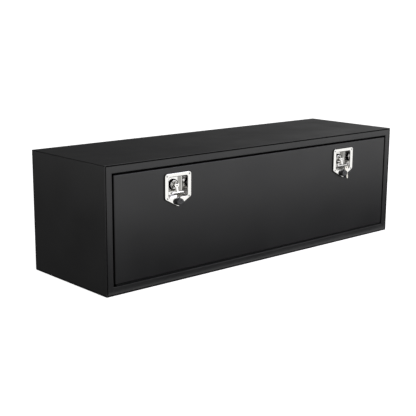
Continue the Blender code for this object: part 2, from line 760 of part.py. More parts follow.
def build_dish(name, at, door):
    """The stainless dish: a face plate with a drawn pan, a spindle hole, a lock hole and the cap's ears."""
    back = (0, 1, 0)
    plate = prism(home_plate(), lambda a, b: at(a, 0, b), (0, DISH_SHEET, 0))
    rim = [
        edge
        for edge in plate.edges
        if all(abs(vert.co.y - at(0, 0, 0).y) < CLEARANCE for vert in edge.verts)
    ]
    bmesh.ops.bevel(
        plate,
        geom=rim,
        offset=DISH_EDGE_BEVEL,
        offset_type="OFFSET",
        affect="EDGES",
        segments=1,
        profile=0.5,
        clamp_overlap=True,
        material=-1,
    )
    dish = piece("latch_dish_" + name, plate, STAINLESS, door)
    body = prism(
        pan_outline(DISH_SHEET), lambda a, b: at(a, DISH_SHEET / 2, b), (0, PAN_REAR - DISH_SHEET / 2, 0)
    )
    combine(dish, tool("pan_body_" + name, body, door), "UNION")
    ear_inner = CAP_KNUCKLE_HALF + CAP_EAR_GAP
    for label, sign in (("left", -1), ("right", 1)):
        low = min(sign * ear_inner, sign * (ear_inner + CAP_EAR))
        outline = rounded(
            [
                (-CAP_HINGE_PROUD - CAP_KNUCKLE_RADIUS, -CAP_HINGE_DROP - CAP_KNUCKLE_RADIUS),
                (DISH_SHEET / 2, -CAP_HINGE_DROP - CAP_KNUCKLE_RADIUS),
                (DISH_SHEET / 2, -CAP_HINGE_DROP + CAP_KNUCKLE_RADIUS),
                (-CAP_HINGE_PROUD - CAP_KNUCKLE_RADIUS, -CAP_HINGE_DROP + CAP_KNUCKLE_RADIUS),
            ],
            [CAP_EAR_ROUND, 0, 0, CAP_EAR_ROUND],
        )
        ear = prism(outline, lambda w, b: at(low, w, b), (CAP_EAR, 0, 0))
        combine(dish, tool(f"cap_ear_{label}_{name}", ear, door), "UNION")
    reach = ear_inner + CAP_EAR / 2
    pin = rod(at(-reach, -CAP_HINGE_PROUD, -CAP_HINGE_DROP), (1, 0, 0), 2 * reach, CAP_PIN_RADIUS, SMALL)
    combine(dish, tool("cap_pin_" + name, pin, door), "UNION")
    inside = prism(
        pan_outline(0), lambda a, b: at(a, -CUT_OVERRUN, b), (0, PAN_DEPTH + CUT_OVERRUN, 0)
    )
    combine(dish, tool("pan_inside_" + name, inside, door), "DIFFERENCE")
    hole = rod(
        at(0, PAN_DEPTH - CUT_OVERRUN, 0), back, DISH_SHEET + 2 * CUT_OVERRUN, SPINDLE_RADIUS + CLEARANCE
    )
    combine(dish, tool("spindle_hole_" + name, hole, door), "DIFFERENCE")
    hole = rod(
        at(0, -CUT_OVERRUN / 2, -LOCK_DROP), back, DISH_SHEET + CUT_OVERRUN, BARREL_RADIUS + CLEARANCE
    )
    combine(dish, tool("barrel_hole_" + name, hole, door), "DIFFERENCE")

    start = DISH_SHEET + CLEARANCE
    gasket = prism(home_plate(), lambda a, b: at(a, start, b), (0, GASKET, 0))
    gasket = piece("latch_gasket_" + name, gasket, RUBBER, door)
    window = prism(
        pan_outline(DISH_SHEET + CLEARANCE),
        lambda a, b: at(a, start - CUT_OVERRUN, b),
        (0, GASKET + 2 * CUT_OVERRUN, 0),
    )
    combine(gasket, tool("gasket_window_" + name, window, door), "DIFFERENCE")
    hole = rod(
        at(0, start - CUT_OVERRUN, -LOCK_DROP), back, GASKET + 2 * CUT_OVERRUN, BARREL_RADIUS + CLEARANCE
    )
    combine(gasket, tool("gasket_hole_" + name, hole, door), "DIFFERENCE")


def cross_bore(at, half):
    """The cutter for the cross pin's hole."""
    reach = half + CUT_OVERRUN
    return rod(at(-reach, PIVOT_DEPTH, 0), (1, 0, 0), 2 * reach, PIVOT_RADIUS + CLEARANCE, SMALL)


def build_spindle(name, at, door):
    """The spindle with its forked head, the cross pin, the clip, the cam and its nut."""
    axis = empty("spindle_axis_" + name, at(0, 0, 0), door)
    cam_front = CAM_DEPTH + PROUD
    cam_rear = cam_front + CAM
    nut_front = cam_rear + CLEARANCE
    end = nut_front + NUT_THICKNESS + THREAD_END
    seat = PAN_DEPTH - CLEARANCE
    boss_front = PIVOT_DEPTH - BOSS_LEAD
    profile = [
        (boss_front, 0),
        (boss_front, BOSS_RADIUS - TURNED_EDGE),
        (boss_front + TURNED_EDGE, BOSS_RADIUS),
        (seat - HEAD_THICKNESS, BOSS_RADIUS),
        (seat - HEAD_THICKNESS, HEAD_RADIUS - TURNED_EDGE),
        (seat - HEAD_THICKNESS + TURNED_EDGE, HEAD_RADIUS),
        (seat, HEAD_RADIUS),
        (seat, SPINDLE_RADIUS),
        (cam_front - CLEARANCE, SPINDLE_RADIUS),
        (cam_front - CLEARANCE, SPINDLE_TAIL_RADIUS),
        (end, SPINDLE_TAIL_RADIUS),
        (end, 0),
    ]
    spindle = piece(
        "latch_spindle_" + name, turned(profile, at(0, 0, 0), (0, 1, 0), FINE), STAINLESS, axis
    )
    half = HANDLE_WIDTH / 2 + CLEARANCE
    slot = block(
        at(-half, boss_front - CUT_OVERRUN, -HEAD_RADIUS), at(half, PIVOT_DEPTH + FORK_DEPTH, HEAD_RADIUS)
    )
    combine(spindle, tool("fork_slot_" + name, slot, axis), "DIFFERENCE")
    bore = cross_bore(at, BOSS_RADIUS)
    combine(spindle, tool("fork_bore_" + name, bore, axis), "DIFFERENCE")

    half = BOSS_RADIUS - CLEARANCE
    pin = rod(at(-half, PIVOT_DEPTH, 0), (1, 0, 0), 2 * half, PIVOT_RADIUS, SMALL)
    piece("latch_cross_pin_" + name, pin, STAINLESS, axis)

    start = PAN_REAR + CLEARANCE
    bore_radius = SPINDLE_RADIUS + CLEARANCE
    clip = washer(at(0, start, 0), CLIP_THICKNESS, CLIP_RADIUS, bore_radius)
    piece("spindle_clip_" + name, clip, ZINC, axis)

    cam = cam_plate(lambda a, b: at(a, cam_front, b))
    piece("latch_cam_" + name, cam, ZINC, axis)
    nut = washer(at(0, nut_front, 0), NUT_THICKNESS, NUT_RADIUS, SPINDLE_TAIL_RADIUS + CLEARANCE, 6)
    piece("cam_nut_" + name, nut, ZINC, axis)
    return axis


def washer(place, thickness, radius, bore, sides=ROUND):
    """A flat ring or a nut: an outline with a round hole, bridged and given its thickness."""
    bm = bmesh.new()
    turn = Matrix.Translation(place) @ Matrix.Rotation(-math.pi / 2, 4, "X")
    outer = bmesh.ops.create_circle(bm, radius=radius, segments=sides, matrix=turn)["verts"]
    inner = bmesh.ops.create_circle(bm, radius=bore, segments=ROUND, matrix=turn)["verts"]
    edges = {edge for vert in outer + inner for edge in vert.link_edges}
    bmesh.ops.bridge_loops(bm, edges=list(edges))
    moved = bmesh.ops.extrude_face_region(bm, geom=bm.faces[:], use_keep_orig=True)
    verts = [item for item in moved["geom"] if isinstance(item, bmesh.types.BMVert)]
    bmesh.ops.translate(bm, verts=verts, vec=(0, thickness, 0))
    return bm


def holed(outline, bore, place, run, sides=ROUND):
    """A flat plate with a round hole about its own zero."""
    bm = bmesh.new()
    outer = [bm.verts.new(place(a, b)) for a, b in outline]
    inner = [bm.verts.new(place(a, b)) for a, b in arc((0, 0), bore, 0, math.tau, sides)[:-1]]
    edges = []
    for loop in (outer, inner):
        edges += [bm.edges.new((loop[index - 1], loop[index])) for index in range(len(loop))]
    bmesh.ops.triangle_fill(bm, edges=edges, use_beauty=True)
    moved = bmesh.ops.extrude_face_region(bm, geom=bm.faces[:], use_keep_orig=True)
    verts = [item for item in moved["geom"] if isinstance(item, bmesh.types.BMVert)]
    bmesh.ops.translate(bm, verts=verts, vec=run)
    return bm


def cam_plate(place):
    """The cam: a long finger that goes behind the striker, and a tail that the lock's pawl blocks."""
    tip = CAM_TIP / 2
    points = [
        (CAM_REACH, -tip),
        (CAM_REACH, tip),
        (0, CAM_HUB),
        (-CAM_HUB, 0),
        (-CAM_HUB, -CAM_TAIL_INNER),
        (-CAM_TAIL, -CAM_TAIL_INNER),
        (-CAM_TAIL, -CAM_TAIL_OUTER),
        (0, -CAM_TAIL_OUTER),
    ]
    radii = [CAM_CORNER, CAM_CORNER, CAM_CORNER, CAM_CORNER, 0, CAM_CORNER, CAM_CORNER, CAM_CORNER]
    outline = rounded(points, radii, FOLD_STEPS)
    return holed(outline, SPINDLE_TAIL_RADIUS + CLEARANCE, place, (0, CAM, 0))


def build_handle(name, at, spindle):
    """The T-handle, folded down into the pan: an eye on the cross pin, a shank and a round-ended bar."""
    axis = empty("handle_axis_" + name, at(0, PIVOT_DEPTH, 0), spindle)
    half = HANDLE_WIDTH / 2
    eye = rod(at(-half, PIVOT_DEPTH, 0), (1, 0, 0), HANDLE_WIDTH, HANDLE_EYE, ROUND)
    handle = piece("t_handle_" + name, eye, STAINLESS, axis)
    start = Vector((PIVOT_DEPTH, 0))
    end = Vector((TBAR_DEPTH, -TBAR_DROP))
    side = Vector((end.y - start.y, start.x - end.x)).normalized()
    root = side * (HANDLE_THICKNESS / 2)
    neck = side * (HANDLE_NECK / 2)
    corners = [start + root, start - root, end - neck, end + neck]
    shank = prism([tuple(corner) for corner in corners], lambda w, b: at(-half, w, b), (HANDLE_WIDTH, 0, 0))
    combine(handle, tool("shank_" + name, shank, axis), "UNION")
    quarter = math.pi / 2
    steps = SMALL // 4
    first = arc((TBAR_RADIUS, 0), TBAR_RADIUS, math.pi, -quarter, steps)
    last = arc((TBAR_LENGTH - TBAR_RADIUS, 0), TBAR_RADIUS, quarter, -quarter, steps)
    profile = [(0, 0)] + first[1:] + last[:-1] + [(TBAR_LENGTH, 0)]
    bar = turned(profile, at(-TBAR_LENGTH / 2, TBAR_DEPTH, -TBAR_DROP), (1, 0, 0), SMALL)
    combine(handle, tool("bar_" + name, bar, axis), "UNION")
    bore = cross_bore(at, HANDLE_WIDTH / 2)
    combine(handle, tool("eye_bore_" + name, bore, axis), "DIFFERENCE")
    return axis


def build_lock(name, at, door):
    """The cylinder lock: barrel and nut on the door, plug and pawl that turn, and the rubber dust cap."""
    back = (0, 1, 0)
    inner = PLUG_RADIUS + CLEARANCE
    pawl_front = CAM_DEPTH + PROUD
    barrel_end = pawl_front - CLEARANCE
    bezel = CLEARANCE + BEZEL
    profile = [
        (-bezel, inner),
        (-bezel, BEZEL_RADIUS - TURNED_EDGE),
        (TURNED_EDGE - bezel, BEZEL_RADIUS),
        (-CLEARANCE, BEZEL_RADIUS),
        (-CLEARANCE, BARREL_RADIUS),
        (barrel_end, BARREL_RADIUS),
        (barrel_end, inner),
        (-bezel, inner),
    ]
    barrel = turned(profile, at(0, 0, -LOCK_DROP), back, ROUND)
    piece("lock_barrel_" + name, barrel, STAINLESS, door)
    start = PROUD + SHEET + CLEARANCE
    nut = washer(at(0, start, -LOCK_DROP), LOCK_NUT, LOCK_NUT_RADIUS, BARREL_RADIUS + CLEARANCE, 6)
    piece("lock_nut_" + name, nut, ZINC, door)

    axis = empty("plug_axis_" + name, at(0, 0, -LOCK_DROP), door)
    profile = [
        (-BEZEL, 0),
        (-BEZEL, PLUG_RADIUS),
        (barrel_end, PLUG_RADIUS),
        (barrel_end, PLUG_TAIL_RADIUS),
        (pawl_front + PAWL + CLEARANCE, PLUG_TAIL_RADIUS),
        (pawl_front + PAWL + CLEARANCE, PLUG_RADIUS),
        (pawl_front + PAWL + CLEARANCE + THREAD_END, PLUG_RADIUS),
        (pawl_front + PAWL + CLEARANCE + THREAD_END, 0),
    ]
    plug = piece("lock_plug_" + name, turned(profile, at(0, 0, -LOCK_DROP), back, ROUND), BRASS, axis)
    keyway = block(
        at(-KEYWAY_WIDTH / 2, -BEZEL - CUT_OVERRUN, -LOCK_DROP - KEYWAY_HEIGHT / 2),
        at(KEYWAY_WIDTH / 2, KEYWAY_DEPTH, -LOCK_DROP + KEYWAY_HEIGHT / 2),
    )
    combine(plug, tool("keyway_" + name, keyway, axis), "DIFFERENCE")
    half = PAWL_WIDTH / 2
    shoulder = math.pi - math.asin(half / PLUG_RADIUS)
    eye = arc((0, 0), PLUG_RADIUS, -shoulder, 2 * shoulder, SMALL)
    outline = [(-PAWL_REACH, -half), *eye, (-PAWL_REACH, half)]
    pawl = holed(
        outline,
        PLUG_TAIL_RADIUS + CLEARANCE,
        lambda a, b: at(a, pawl_front, b - LOCK_DROP),
        (0, PAWL, 0),
    )
    piece("lock_pawl_" + name, pawl, ZINC, axis)
    build_cap(name, at, door)


def build_cap(name, at, door):
    """The dust cap: a rubber cup over the lock that flips up on a small hinge above it."""
    axis = empty("cap_axis_" + name, at(0, -CAP_HINGE_PROUD, -CAP_HINGE_DROP), door)
    outer = CAP_DEPTH + CLEARANCE
    quarter = math.pi / 2
    round_off = arc((-outer + CAP_ROUND, CAP_RADIUS - CAP_ROUND), CAP_ROUND, math.pi, -quarter, FOLD_STEPS)
    profile = [
        (-outer, 0),
        *round_off,
        (-CLEARANCE, CAP_RADIUS),
        (-CLEARANCE, CAP_RADIUS - CAP_WALL),
        (-outer + CAP_WALL, CAP_RADIUS - CAP_WALL),
        (-outer + CAP_WALL, 0),
    ]
    cap = piece("dust_cap_" + name, turned(profile, at(0, 0, -LOCK_DROP), (0, 1, 0), ROUND), RUBBER, axis)
    across = CAP_KNUCKLE_HALF
    knuckle = rod(
        at(-across, -CAP_HINGE_PROUD, -CAP_HINGE_DROP), (1, 0, 0), 2 * across, CAP_KNUCKLE_RADIUS, SMALL
    )
    combine(cap, tool("cap_knuckle_" + name, knuckle, axis), "UNION")
    low = -LOCK_DROP + CAP_RADIUS - CAP_WALL
    web = block(
        at(-across, -CAP_HINGE_PROUD - CAP_KNUCKLE_RADIUS, low),
        at(across, -CAP_HINGE_PROUD + CAP_KNUCKLE_RADIUS / 2, -CAP_HINGE_DROP - CAP_BORE_RADIUS),
    )
    combine(cap, tool("cap_web_" + name, web, axis), "UNION")
    reach = across + CUT_OVERRUN
    bore = rod(at(-reach, -CAP_HINGE_PROUD, -CAP_HINGE_DROP), (1, 0, 0), 2 * reach, CAP_BORE_RADIUS, SMALL)
    combine(cap, tool("cap_bore_" + name, bore, axis), "DIFFERENCE")


def build_key(at, handle):
    """The key on its split ring, hung round the bar of the right handle and leaning on the dish."""
    bar = at(KEY_OFFSET, TBAR_DEPTH, -TBAR_DROP)
    axis = empty("key_axis", bar, handle)
    lean = RING_RADIUS - RING_WIRE - TBAR_RADIUS - CLEARANCE
    centre_depth = TBAR_DEPTH - lean * math.cos(RING_LEAN)
    centre_drop = TBAR_DROP + lean * math.sin(RING_LEAN)
    bm = bmesh.new()
    centre = at(KEY_OFFSET, centre_depth, -centre_drop)
    section = Matrix.Translation(centre + Vector((0, 0, RING_RADIUS))) @ Matrix.Rotation(math.pi / 2, 4, "X")
    loop = bmesh.ops.create_circle(bm, radius=RING_WIRE, segments=SMALL // 2, matrix=section)["verts"]
    edges = list({edge for vert in loop for edge in vert.link_edges})
    bmesh.ops.spin(
        bm, geom=loop + edges, cent=centre, axis=(1, 0, 0), angle=math.tau, steps=ROUND, use_merge=True
    )
    bmesh.ops.remove_doubles(bm, verts=bm.verts, dist=CLEARANCE / FINE)
    piece("key_ring", bm, STAINLESS, axis)

    wire_tilt = math.asin((centre_depth + KEY_PROUD) / RING_RADIUS)
    wire_drop = centre_drop + RING_RADIUS * math.cos(wire_tilt)
    wire_reach = KEY_THICKNESS / 2 * math.tan(wire_tilt) + RING_WIRE / math.cos(wire_tilt)
    hole_drop = wire_drop + (KEY_HOLE - wire_reach) / 2
    bow_drop = hole_drop + KEY_BOW - KEY_HOLE - KEY_HOLE_EDGE
    half = KEY_BLADE / 2
    tip_drop = bow_drop - KEY_BOW + KEY_LENGTH
    neck = math.asin(half / KEY_BOW)
    bow = arc((0, hole_drop - bow_drop), KEY_BOW, -math.pi / 2 + neck, math.tau - 2 * neck, ROUND)
    left = bow[-1]
    right = bow[0]
    tip = hole_drop - tip_drop
    pitch = (right[1] - tip - KEY_BLADE) / KEY_NOTCHES
    cuts = []
    for index in range(KEY_NOTCHES):
        low = tip + KEY_BLADE / 2 + pitch * index
        cuts += [(half, low), (half - KEY_NOTCH, low + pitch / 2)]
    outline = [left, (-half, tip + half / 2), (-half / 2, tip), (half / 2, tip)] + cuts + bow[:-1]
    rear = KEY_THICKNESS / 2 - KEY_PROUD
    key = holed(
        outline,
        KEY_HOLE,
        lambda a, b: at(KEY_OFFSET + a, rear, b - hole_drop),
        (0, -KEY_THICKNESS, 0),
        SMALL,
    )
    piece("key", key, NICKEL, axis)


def build_latches(door):
    """Both latches. Only the right one carries the key."""
    for name, sign in (("left", -1), ("right", 1)):
        at = latch_place(sign)
        build_dish(name, at, door)
        spindle = build_spindle(name, at, door)
        handle = build_handle(name, at, spindle)
        build_lock(name, at, door)
        if sign > 0:
            build_key(at, handle)


for thing in list(bpy.data.objects):
    bpy.data.objects.remove(thing)

PAINT = material("black_powder_coat", (0.028, 0.028, 0.030), 0.42, 0.0)
RUBBER = material("black_rubber", (0.012, 0.012, 0.012), 0.7, 0.0)
STAINLESS = material("polished_stainless", (0.78, 0.78, 0.77), 0.16, 1.0)
ZINC = material("zinc_plated_steel", (0.55, 0.56, 0.56), 0.38, 1.0)
HINGE_STEEL = material("painted_hinge_steel", (0.035, 0.035, 0.037), 0.45, 0.0)
BRASS = material("lock_brass", (0.60, 0.47, 0.24), 0.30, 1.0)
NICKEL = material("nickel_plated_key", (0.72, 0.70, 0.66), 0.22, 1.0)

build_case()
build_strikers()
door_axis = empty("door_axis", (0, HINGE_DEPTH, HINGE_HEIGHT))
build_hinge(door_axis)
build_door(door_axis)
build_stiffeners(door_axis)
build_stays(door_axis)
build_latches(door_axis)
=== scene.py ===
# %% [markdown]
# # A truck's underbody tool box, dressed for its photograph
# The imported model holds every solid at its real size. This lesson gives each surface its finish, swaps the plainest
# solids for finer meshes, and adds the small parts that a workshop would fit last: rivets, welds, threads and seals.

# %% Load the fixed frame
import math

import bmesh
import bpy
from mathutils import Matrix, Vector


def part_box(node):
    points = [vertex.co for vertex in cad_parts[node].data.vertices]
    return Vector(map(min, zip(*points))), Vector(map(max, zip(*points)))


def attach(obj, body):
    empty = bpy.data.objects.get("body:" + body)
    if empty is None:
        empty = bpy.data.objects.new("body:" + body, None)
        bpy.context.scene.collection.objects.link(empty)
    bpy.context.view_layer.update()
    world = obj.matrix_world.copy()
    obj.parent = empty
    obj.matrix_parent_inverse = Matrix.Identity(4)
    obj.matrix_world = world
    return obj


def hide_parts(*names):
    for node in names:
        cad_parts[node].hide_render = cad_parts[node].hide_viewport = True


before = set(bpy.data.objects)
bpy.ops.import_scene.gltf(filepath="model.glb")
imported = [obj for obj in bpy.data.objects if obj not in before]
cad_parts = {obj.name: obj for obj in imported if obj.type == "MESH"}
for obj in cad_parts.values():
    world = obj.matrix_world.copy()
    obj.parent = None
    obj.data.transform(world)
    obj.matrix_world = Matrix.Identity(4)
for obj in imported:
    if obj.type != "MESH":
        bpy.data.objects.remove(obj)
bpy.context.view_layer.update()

MM = 0.001
TINY = 0.001 * MM
SIDES = ("left", "right")

# %% [markdown]
# ## Camera
# The photograph looks at the box from its front left, from about chest height and some way off, through a short
# telephoto lens. The camera's place and turn were found by matching the box's visible edges.

# %% Place the camera
CAMERA_PLACE = (-2.5143, -2.7123, 0.979)
CAMERA_YAW = math.radians(41.689)
CAMERA_PITCH = math.radians(-12.373)
CAMERA_ROLL = math.radians(0.339)
CAMERA_LENS = 80.13
CAMERA_SENSOR = 36
CAMERA_REACH = 1000


def put_in(name, data):
    """A new object in the scene."""
    made = bpy.data.objects.new(name, data)
    bpy.context.scene.collection.objects.link(made)
    return made


camera_data = bpy.data.cameras.new("camera")
camera_data.lens = CAMERA_LENS
camera_data.sensor_width = CAMERA_SENSOR
camera_data.clip_end = CAMERA_REACH
camera = put_in("camera", camera_data)
turn = Matrix.Rotation(-CAMERA_YAW, 4, "Z") @ Matrix.Rotation(math.pi / 2 + CAMERA_PITCH, 4, "X")
camera.matrix_world = Matrix.Translation(CAMERA_PLACE) @ turn @ Matrix.Rotation(CAMERA_ROLL, 4, "Z")
bpy.context.scene.camera = camera
print("lens:", CAMERA_LENS, "mm")

# %% [markdown]
# ## Colours and nodes
# A colour is written as an sRGB hex value and turned to linear light once, here. One small function adds a shader
# node with its settings, values and links. The others say in one line each what a finish is made of: noise of a real
# size, a blend of two colours, a range of values, and a bump of a real depth.

# %% Helpers for materials
COLOUR_A, COLOUR_B, COLOUR_OUT = 6, 7, 2
NOISE_SPREAD = (0.3, 0.7)


def colour(text):
    """An sRGB hex colour as linear RGBA."""
    parts = [int(text[i:i + 2], 16) / 255 for i in (1, 3, 5)]
    linear = [part / 12.92 if part <= 0.04045 else ((part + 0.055) / 1.055) ** 2.4 for part in parts]
    return (*linear, 1)


def add(tree, kind, values=None, links=None, **settings):
    """Adds one node: settings are its own properties, values its sockets' numbers, links what feeds them."""
    node = tree.nodes.new(kind)
    for name, value in settings.items():
        setattr(node, name, value)
    for socket, value in (values or {}).items():
        node.inputs[socket].default_value = value
    for socket, source in (links or {}).items():
        tree.links.new(source, node.inputs[socket])
    return node


def finish(name, base, roughness, metallic=0.0, **sockets):
    """A new Principled material. Returns it with its node tree and its shader."""
    made = bpy.data.materials.new(name)
    made.use_nodes = True
    shader = made.node_tree.nodes["Principled BSDF"]
    shader.inputs["Base Color"].default_value = colour(base)
    shader.inputs["Roughness"].default_value = roughness
    shader.inputs["Metallic"].default_value = metallic
    for socket, value in sockets.items():
        shader.inputs[socket.replace("_", " ")].default_value = value
    return made, made.node_tree, shader


def feed(tree, shader, sources):
    """Links each source to the shader's input of that name."""
    for socket, source in sources.items():
        tree.links.new(source, shader.inputs[socket])


def noise(tree, size, detail):
    """Noise with waves of a real size, fixed to the piece."""
    place = add(tree, "ShaderNodeTexCoord").outputs["Object"]
    return add(tree, "ShaderNodeTexNoise", {"Scale": 1 / size, "Detail": detail}, {"Vector": place}).outputs["Fac"]


def blend(tree, one, other, share):
    """A colour between two hex colours, by a share."""
    ends = {COLOUR_A: colour(one), COLOUR_B: colour(other)}
    return add(tree, "ShaderNodeMix", ends, {0: share}, data_type="RGBA").outputs[COLOUR_OUT]


def spread(tree, value, source, target, **settings):
    """Carries a value from one range over to another, and stops at its ends."""
    ends = {"From Min": source[0], "From Max": source[1], "To Min": target[0], "To Max": target[1]}
    return add(tree, "ShaderNodeMapRange", ends, {"Value": value}, **settings).outputs["Result"]


def bump(tree, height, strength, depth, below=None):
    """A bump of a real depth, over another one if that is given."""
    links = {"Height": height} if below is None else {"Height": height, "Normal": below}
    return add(tree, "ShaderNodeBump", {"Strength": strength, "Distance": depth}, links).outputs["Normal"]


# %% [markdown]
# ## Powder coat
# The case and door are steel sheet under satin black polyester powder coat. The powder is sprayed dry, then melts
# and flows in an oven. It never levels quite flat, which leaves orange peel: shallow waves 2 to 4 mm across. A much
# finer grain comes from the powder itself. Handling leaves patches where the gloss is a little duller. The hinge's
# coat is painted much darker and duller than the door's. This is painted shade for the shaded gap under the door,
# where the hinge sits.

# %% Satin black powder coat
PEEL = 3 * MM
PEEL_DEPTH = 0.15 * MM
GRAIN = 0.5 * MM
GRAIN_DEPTH = 0.03 * MM
HANDLED_PATCH = 180 * MM


def powder_coat(name, base, dull, roughness, **sockets):
    """Polyester powder coat: orange peel and grain as bump, patches of handling in colour and roughness."""
    made, tree, shader = finish(name, base, roughness, **sockets)
    patch = noise(tree, HANDLED_PATCH, 5.0)
    waves = bump(tree, noise(tree, PEEL, 1.0), 0.10, PEEL_DEPTH)
    feed(tree, shader, {
        "Base Color": blend(tree, base, dull, patch),
        "Roughness": spread(tree, patch, NOISE_SPREAD, (roughness - 0.04, roughness + 0.05)),
        "Normal": bump(tree, noise(tree, GRAIN, 2.0), 0.20, GRAIN_DEPTH, waves),
    })
    return made


coat = powder_coat("satin_powder_coat", "#161617", "#1b1b1c", 0.40)
# Painted shade: the hinge's coat is much darker and duller than the door's, for the shade in the gap under the door.
hinge_shade_coat = powder_coat("hinge_shade_powder_coat", "#060606", "#0a0a0a", 0.70, Specular_IOR_Level=0.2)
print("powder coats:", coat.name, hinge_shade_coat.name)

# %% [markdown]
# ## Polished stainless steel
# The latch dishes, handles and spindles are stainless steel, bright annealed and buffed. Buffing leaves fine
# scratches along one way, so the gloss is a little streaky. The scratches are drawn 0.4 mm apart, coarser than real
# ones, so that they show. Nickel plate and turned brass are buffed the same way, and take the same recipe.

# %% Buffed stainless steel
SCRATCH = 0.4 * MM
SCRATCH_DEPTH = 0.01 * MM
SCRATCH_LENGTH = 12 * MM
SMEAR = 25 * MM


def buffed_steel(name, base, roughness):
    """Bright metal with fine scratches that run along X, and faint smears."""
    made, tree, shader = finish(name, base, roughness, 1.0)
    place = add(tree, "ShaderNodeTexCoord").outputs["Object"]
    closeness = {"Scale": (1 / SCRATCH_LENGTH, 1 / SCRATCH, 1 / SCRATCH)}
    stretch = add(tree, "ShaderNodeMapping", closeness, {"Vector": place}).outputs["Vector"]
    scratch = add(tree, "ShaderNodeTexNoise", {"Scale": 1.0, "Detail": 3.0}, {"Vector": stretch}).outputs["Fac"]
    both = add(tree, "ShaderNodeMath", {1: 0.5}, {0: scratch, 2: noise(tree, SMEAR, 3.0)}, operation="MULTIPLY_ADD")
    feed(tree, shader, {
        "Roughness": spread(tree, both.outputs["Value"], (0.4, 1.1), (roughness * 0.6, roughness * 1.5)),
        "Normal": bump(tree, scratch, 0.15, SCRATCH_DEPTH),
    })
    return made


stainless = buffed_steel("buffed_stainless", "#e4e3e0", 0.10)
drawn_steel = buffed_steel("drawn_stainless", "#d8d7d4", 0.11)
nickel = buffed_steel("nickel_plate", "#dddad3", 0.16)
brass = buffed_steel("turned_brass", "#b79a5c", 0.28)
print("bright metals:", stainless.name, drawn_steel.name, nickel.name, brass.name)

# %% [markdown]
# ## Zinc plate
# Brackets, cams, nuts, stay arms and rivets are steel with bright zinc plating. The clear passivation over it gives
# the eye a soft blue-grey, with cloudy patches a centimetre or so across.

# %% Zinc plated steel
CLOUD = 9 * MM
zinc, zinc_tree, zinc_shader = finish("zinc_plate", "#a9adb0", 0.34, 1.0)
cloud = noise(zinc_tree, CLOUD, 4.0)
feed(zinc_tree, zinc_shader, {
    "Base Color": blend(zinc_tree, "#9fa6ac", "#b9b8ae", cloud),
    "Roughness": spread(zinc_tree, cloud, NOISE_SPREAD, (0.27, 0.45)),
})
print("plating:", zinc.name)

# %% [markdown]
# ## Rubber
# The dust caps, gaskets and door seal are black EPDM rubber. Moulded rubber takes the mould's fine sparked texture,
# and a dry bloom greys it unevenly. The seam's sealer and the spindles' collars are a duller, softer, near-black
# compound. It is painted shade: it darkens the groove round the front and the ring round each cup washer.

# %% Black EPDM rubber
SPARK = 0.6 * MM
SPARK_DEPTH = 0.05 * MM
BLOOM = 14 * MM


def rubber_finish(name, base, bloom, roughness, **sockets):
    """Moulded rubber: a fine sparked texture and a dry, uneven bloom."""
    made, tree, shader = finish(name, base, roughness, **sockets)
    feed(tree, shader, {
        "Base Color": blend(tree, base, bloom, noise(tree, BLOOM, 4.0)),
        "Normal": bump(tree, noise(tree, SPARK, 2.0), 0.35, SPARK_DEPTH),
    })
    return made


cap_rubber = rubber_finish("moulded_cap_rubber", "#303031", "#414143", 0.42)
seal_rubber = rubber_finish("door_seal_rubber", "#111112", "#19191a", 0.72)
# Painted shade: a matt near-black for the front seam's groove and the spindles' collars, where shade falls.
shade_sealer = rubber_finish("seam_shade_sealer", "#060606", "#0b0b0b", 0.85, Specular_IOR_Level=0.06)
print("rubbers:", cap_rubber.name, seal_rubber.name, shade_sealer.name)

# %% [markdown]
# ## Dressing the solids
# Every solid whose shape is right stays, and takes one of these finishes. Solids come as loose triangles with sharp
# edges. A Weld modifier joins them, and a Bevel modifier rounds their edges, because no real edge is quite sharp and
# a small round catches the light.

# %% Give each solid its finish
SMALL_EDGE = 0.25 * MM
WIDE_EDGE = 0.5 * MM
BEVEL_FROM = 38
EDGES = dict.fromkeys(
    ("body_wrap", "end_panel", "front_frame", "door_skin", "latch_spindle", "latch_cam", "stay_arm"), WIDE_EDGE
)
EDGES["lock_barrel"] = 0.4 * MM
FINISHES = {
    **dict.fromkeys(("body_wrap", "end_panel", "front_frame", "door_skin", "door_stiffener"), coat),
    "hinge": hinge_shade_coat,
    **dict.fromkeys(("latch_dish", "latch_spindle", "latch_cross_pin", "t_handle"), stainless),
    **dict.fromkeys(("lock_barrel", "key_ring"), stainless),
    "key": nickel,
    "lock_plug": brass,
    "dust_cap": cap_rubber,
    **dict.fromkeys(("latch_gasket", "door_seal"), seal_rubber),
}


def longest_start(table, name, otherwise):
    """The table's entry for the longest start of a name."""
    match = [start for start in table if name.startswith(start)]
    return table[max(match, key=len)] if match else otherwise


def soft_edges(piece, width, angle):
    """Rounds each edge that turns by more than an angle."""
    bevel = piece.modifiers.new("edge", "BEVEL")
    bevel.width = width
    bevel.segments = 2
    bevel.limit_method = "ANGLE"
    bevel.angle_limit = math.radians(angle)


for name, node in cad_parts.items():
    node.data.materials.clear()
    node.data.materials.append(longest_start(FINISHES, name, zinc))
    node.modifiers.new("weld", "WELD").merge_threshold = 0.01 * MM
    soft_edges(node, longest_start(EDGES, name, SMALL_EDGE), BEVEL_FROM)
    node.modifiers.new("flat_faces", "WEIGHTED_NORMAL")
    node.data.shade_smooth()
print("finished solids:", len(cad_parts))

# %% [markdown]
# ## New pieces
# Each new piece of a latch is built at the latch's own zero, the middle of its spindle on the face plate, with X
# across, Y into the box and Z up. Then it is moved to its place. It rides on the body that carries it, so it follows
# every joint.

# %% Helpers for new pieces
FACE_ABOVE_GASKET = 2.1 * MM
ROUND_STEPS = 5


def corners_of(name):
    """The low and high corner of a solid's box."""
    return [Vector(corner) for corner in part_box(name)]


def hub(side):
    """The point where a latch's spindle turns, on the front of its face plate."""
    low, high = corners_of("latch_spindle_" + side)
    gasket_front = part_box("latch_gasket_" + side)[0][1]
    return Vector(((low.x + high.x) / 2, gasket_front - FACE_ABOVE_GASKET, (low.z + high.z) / 2))


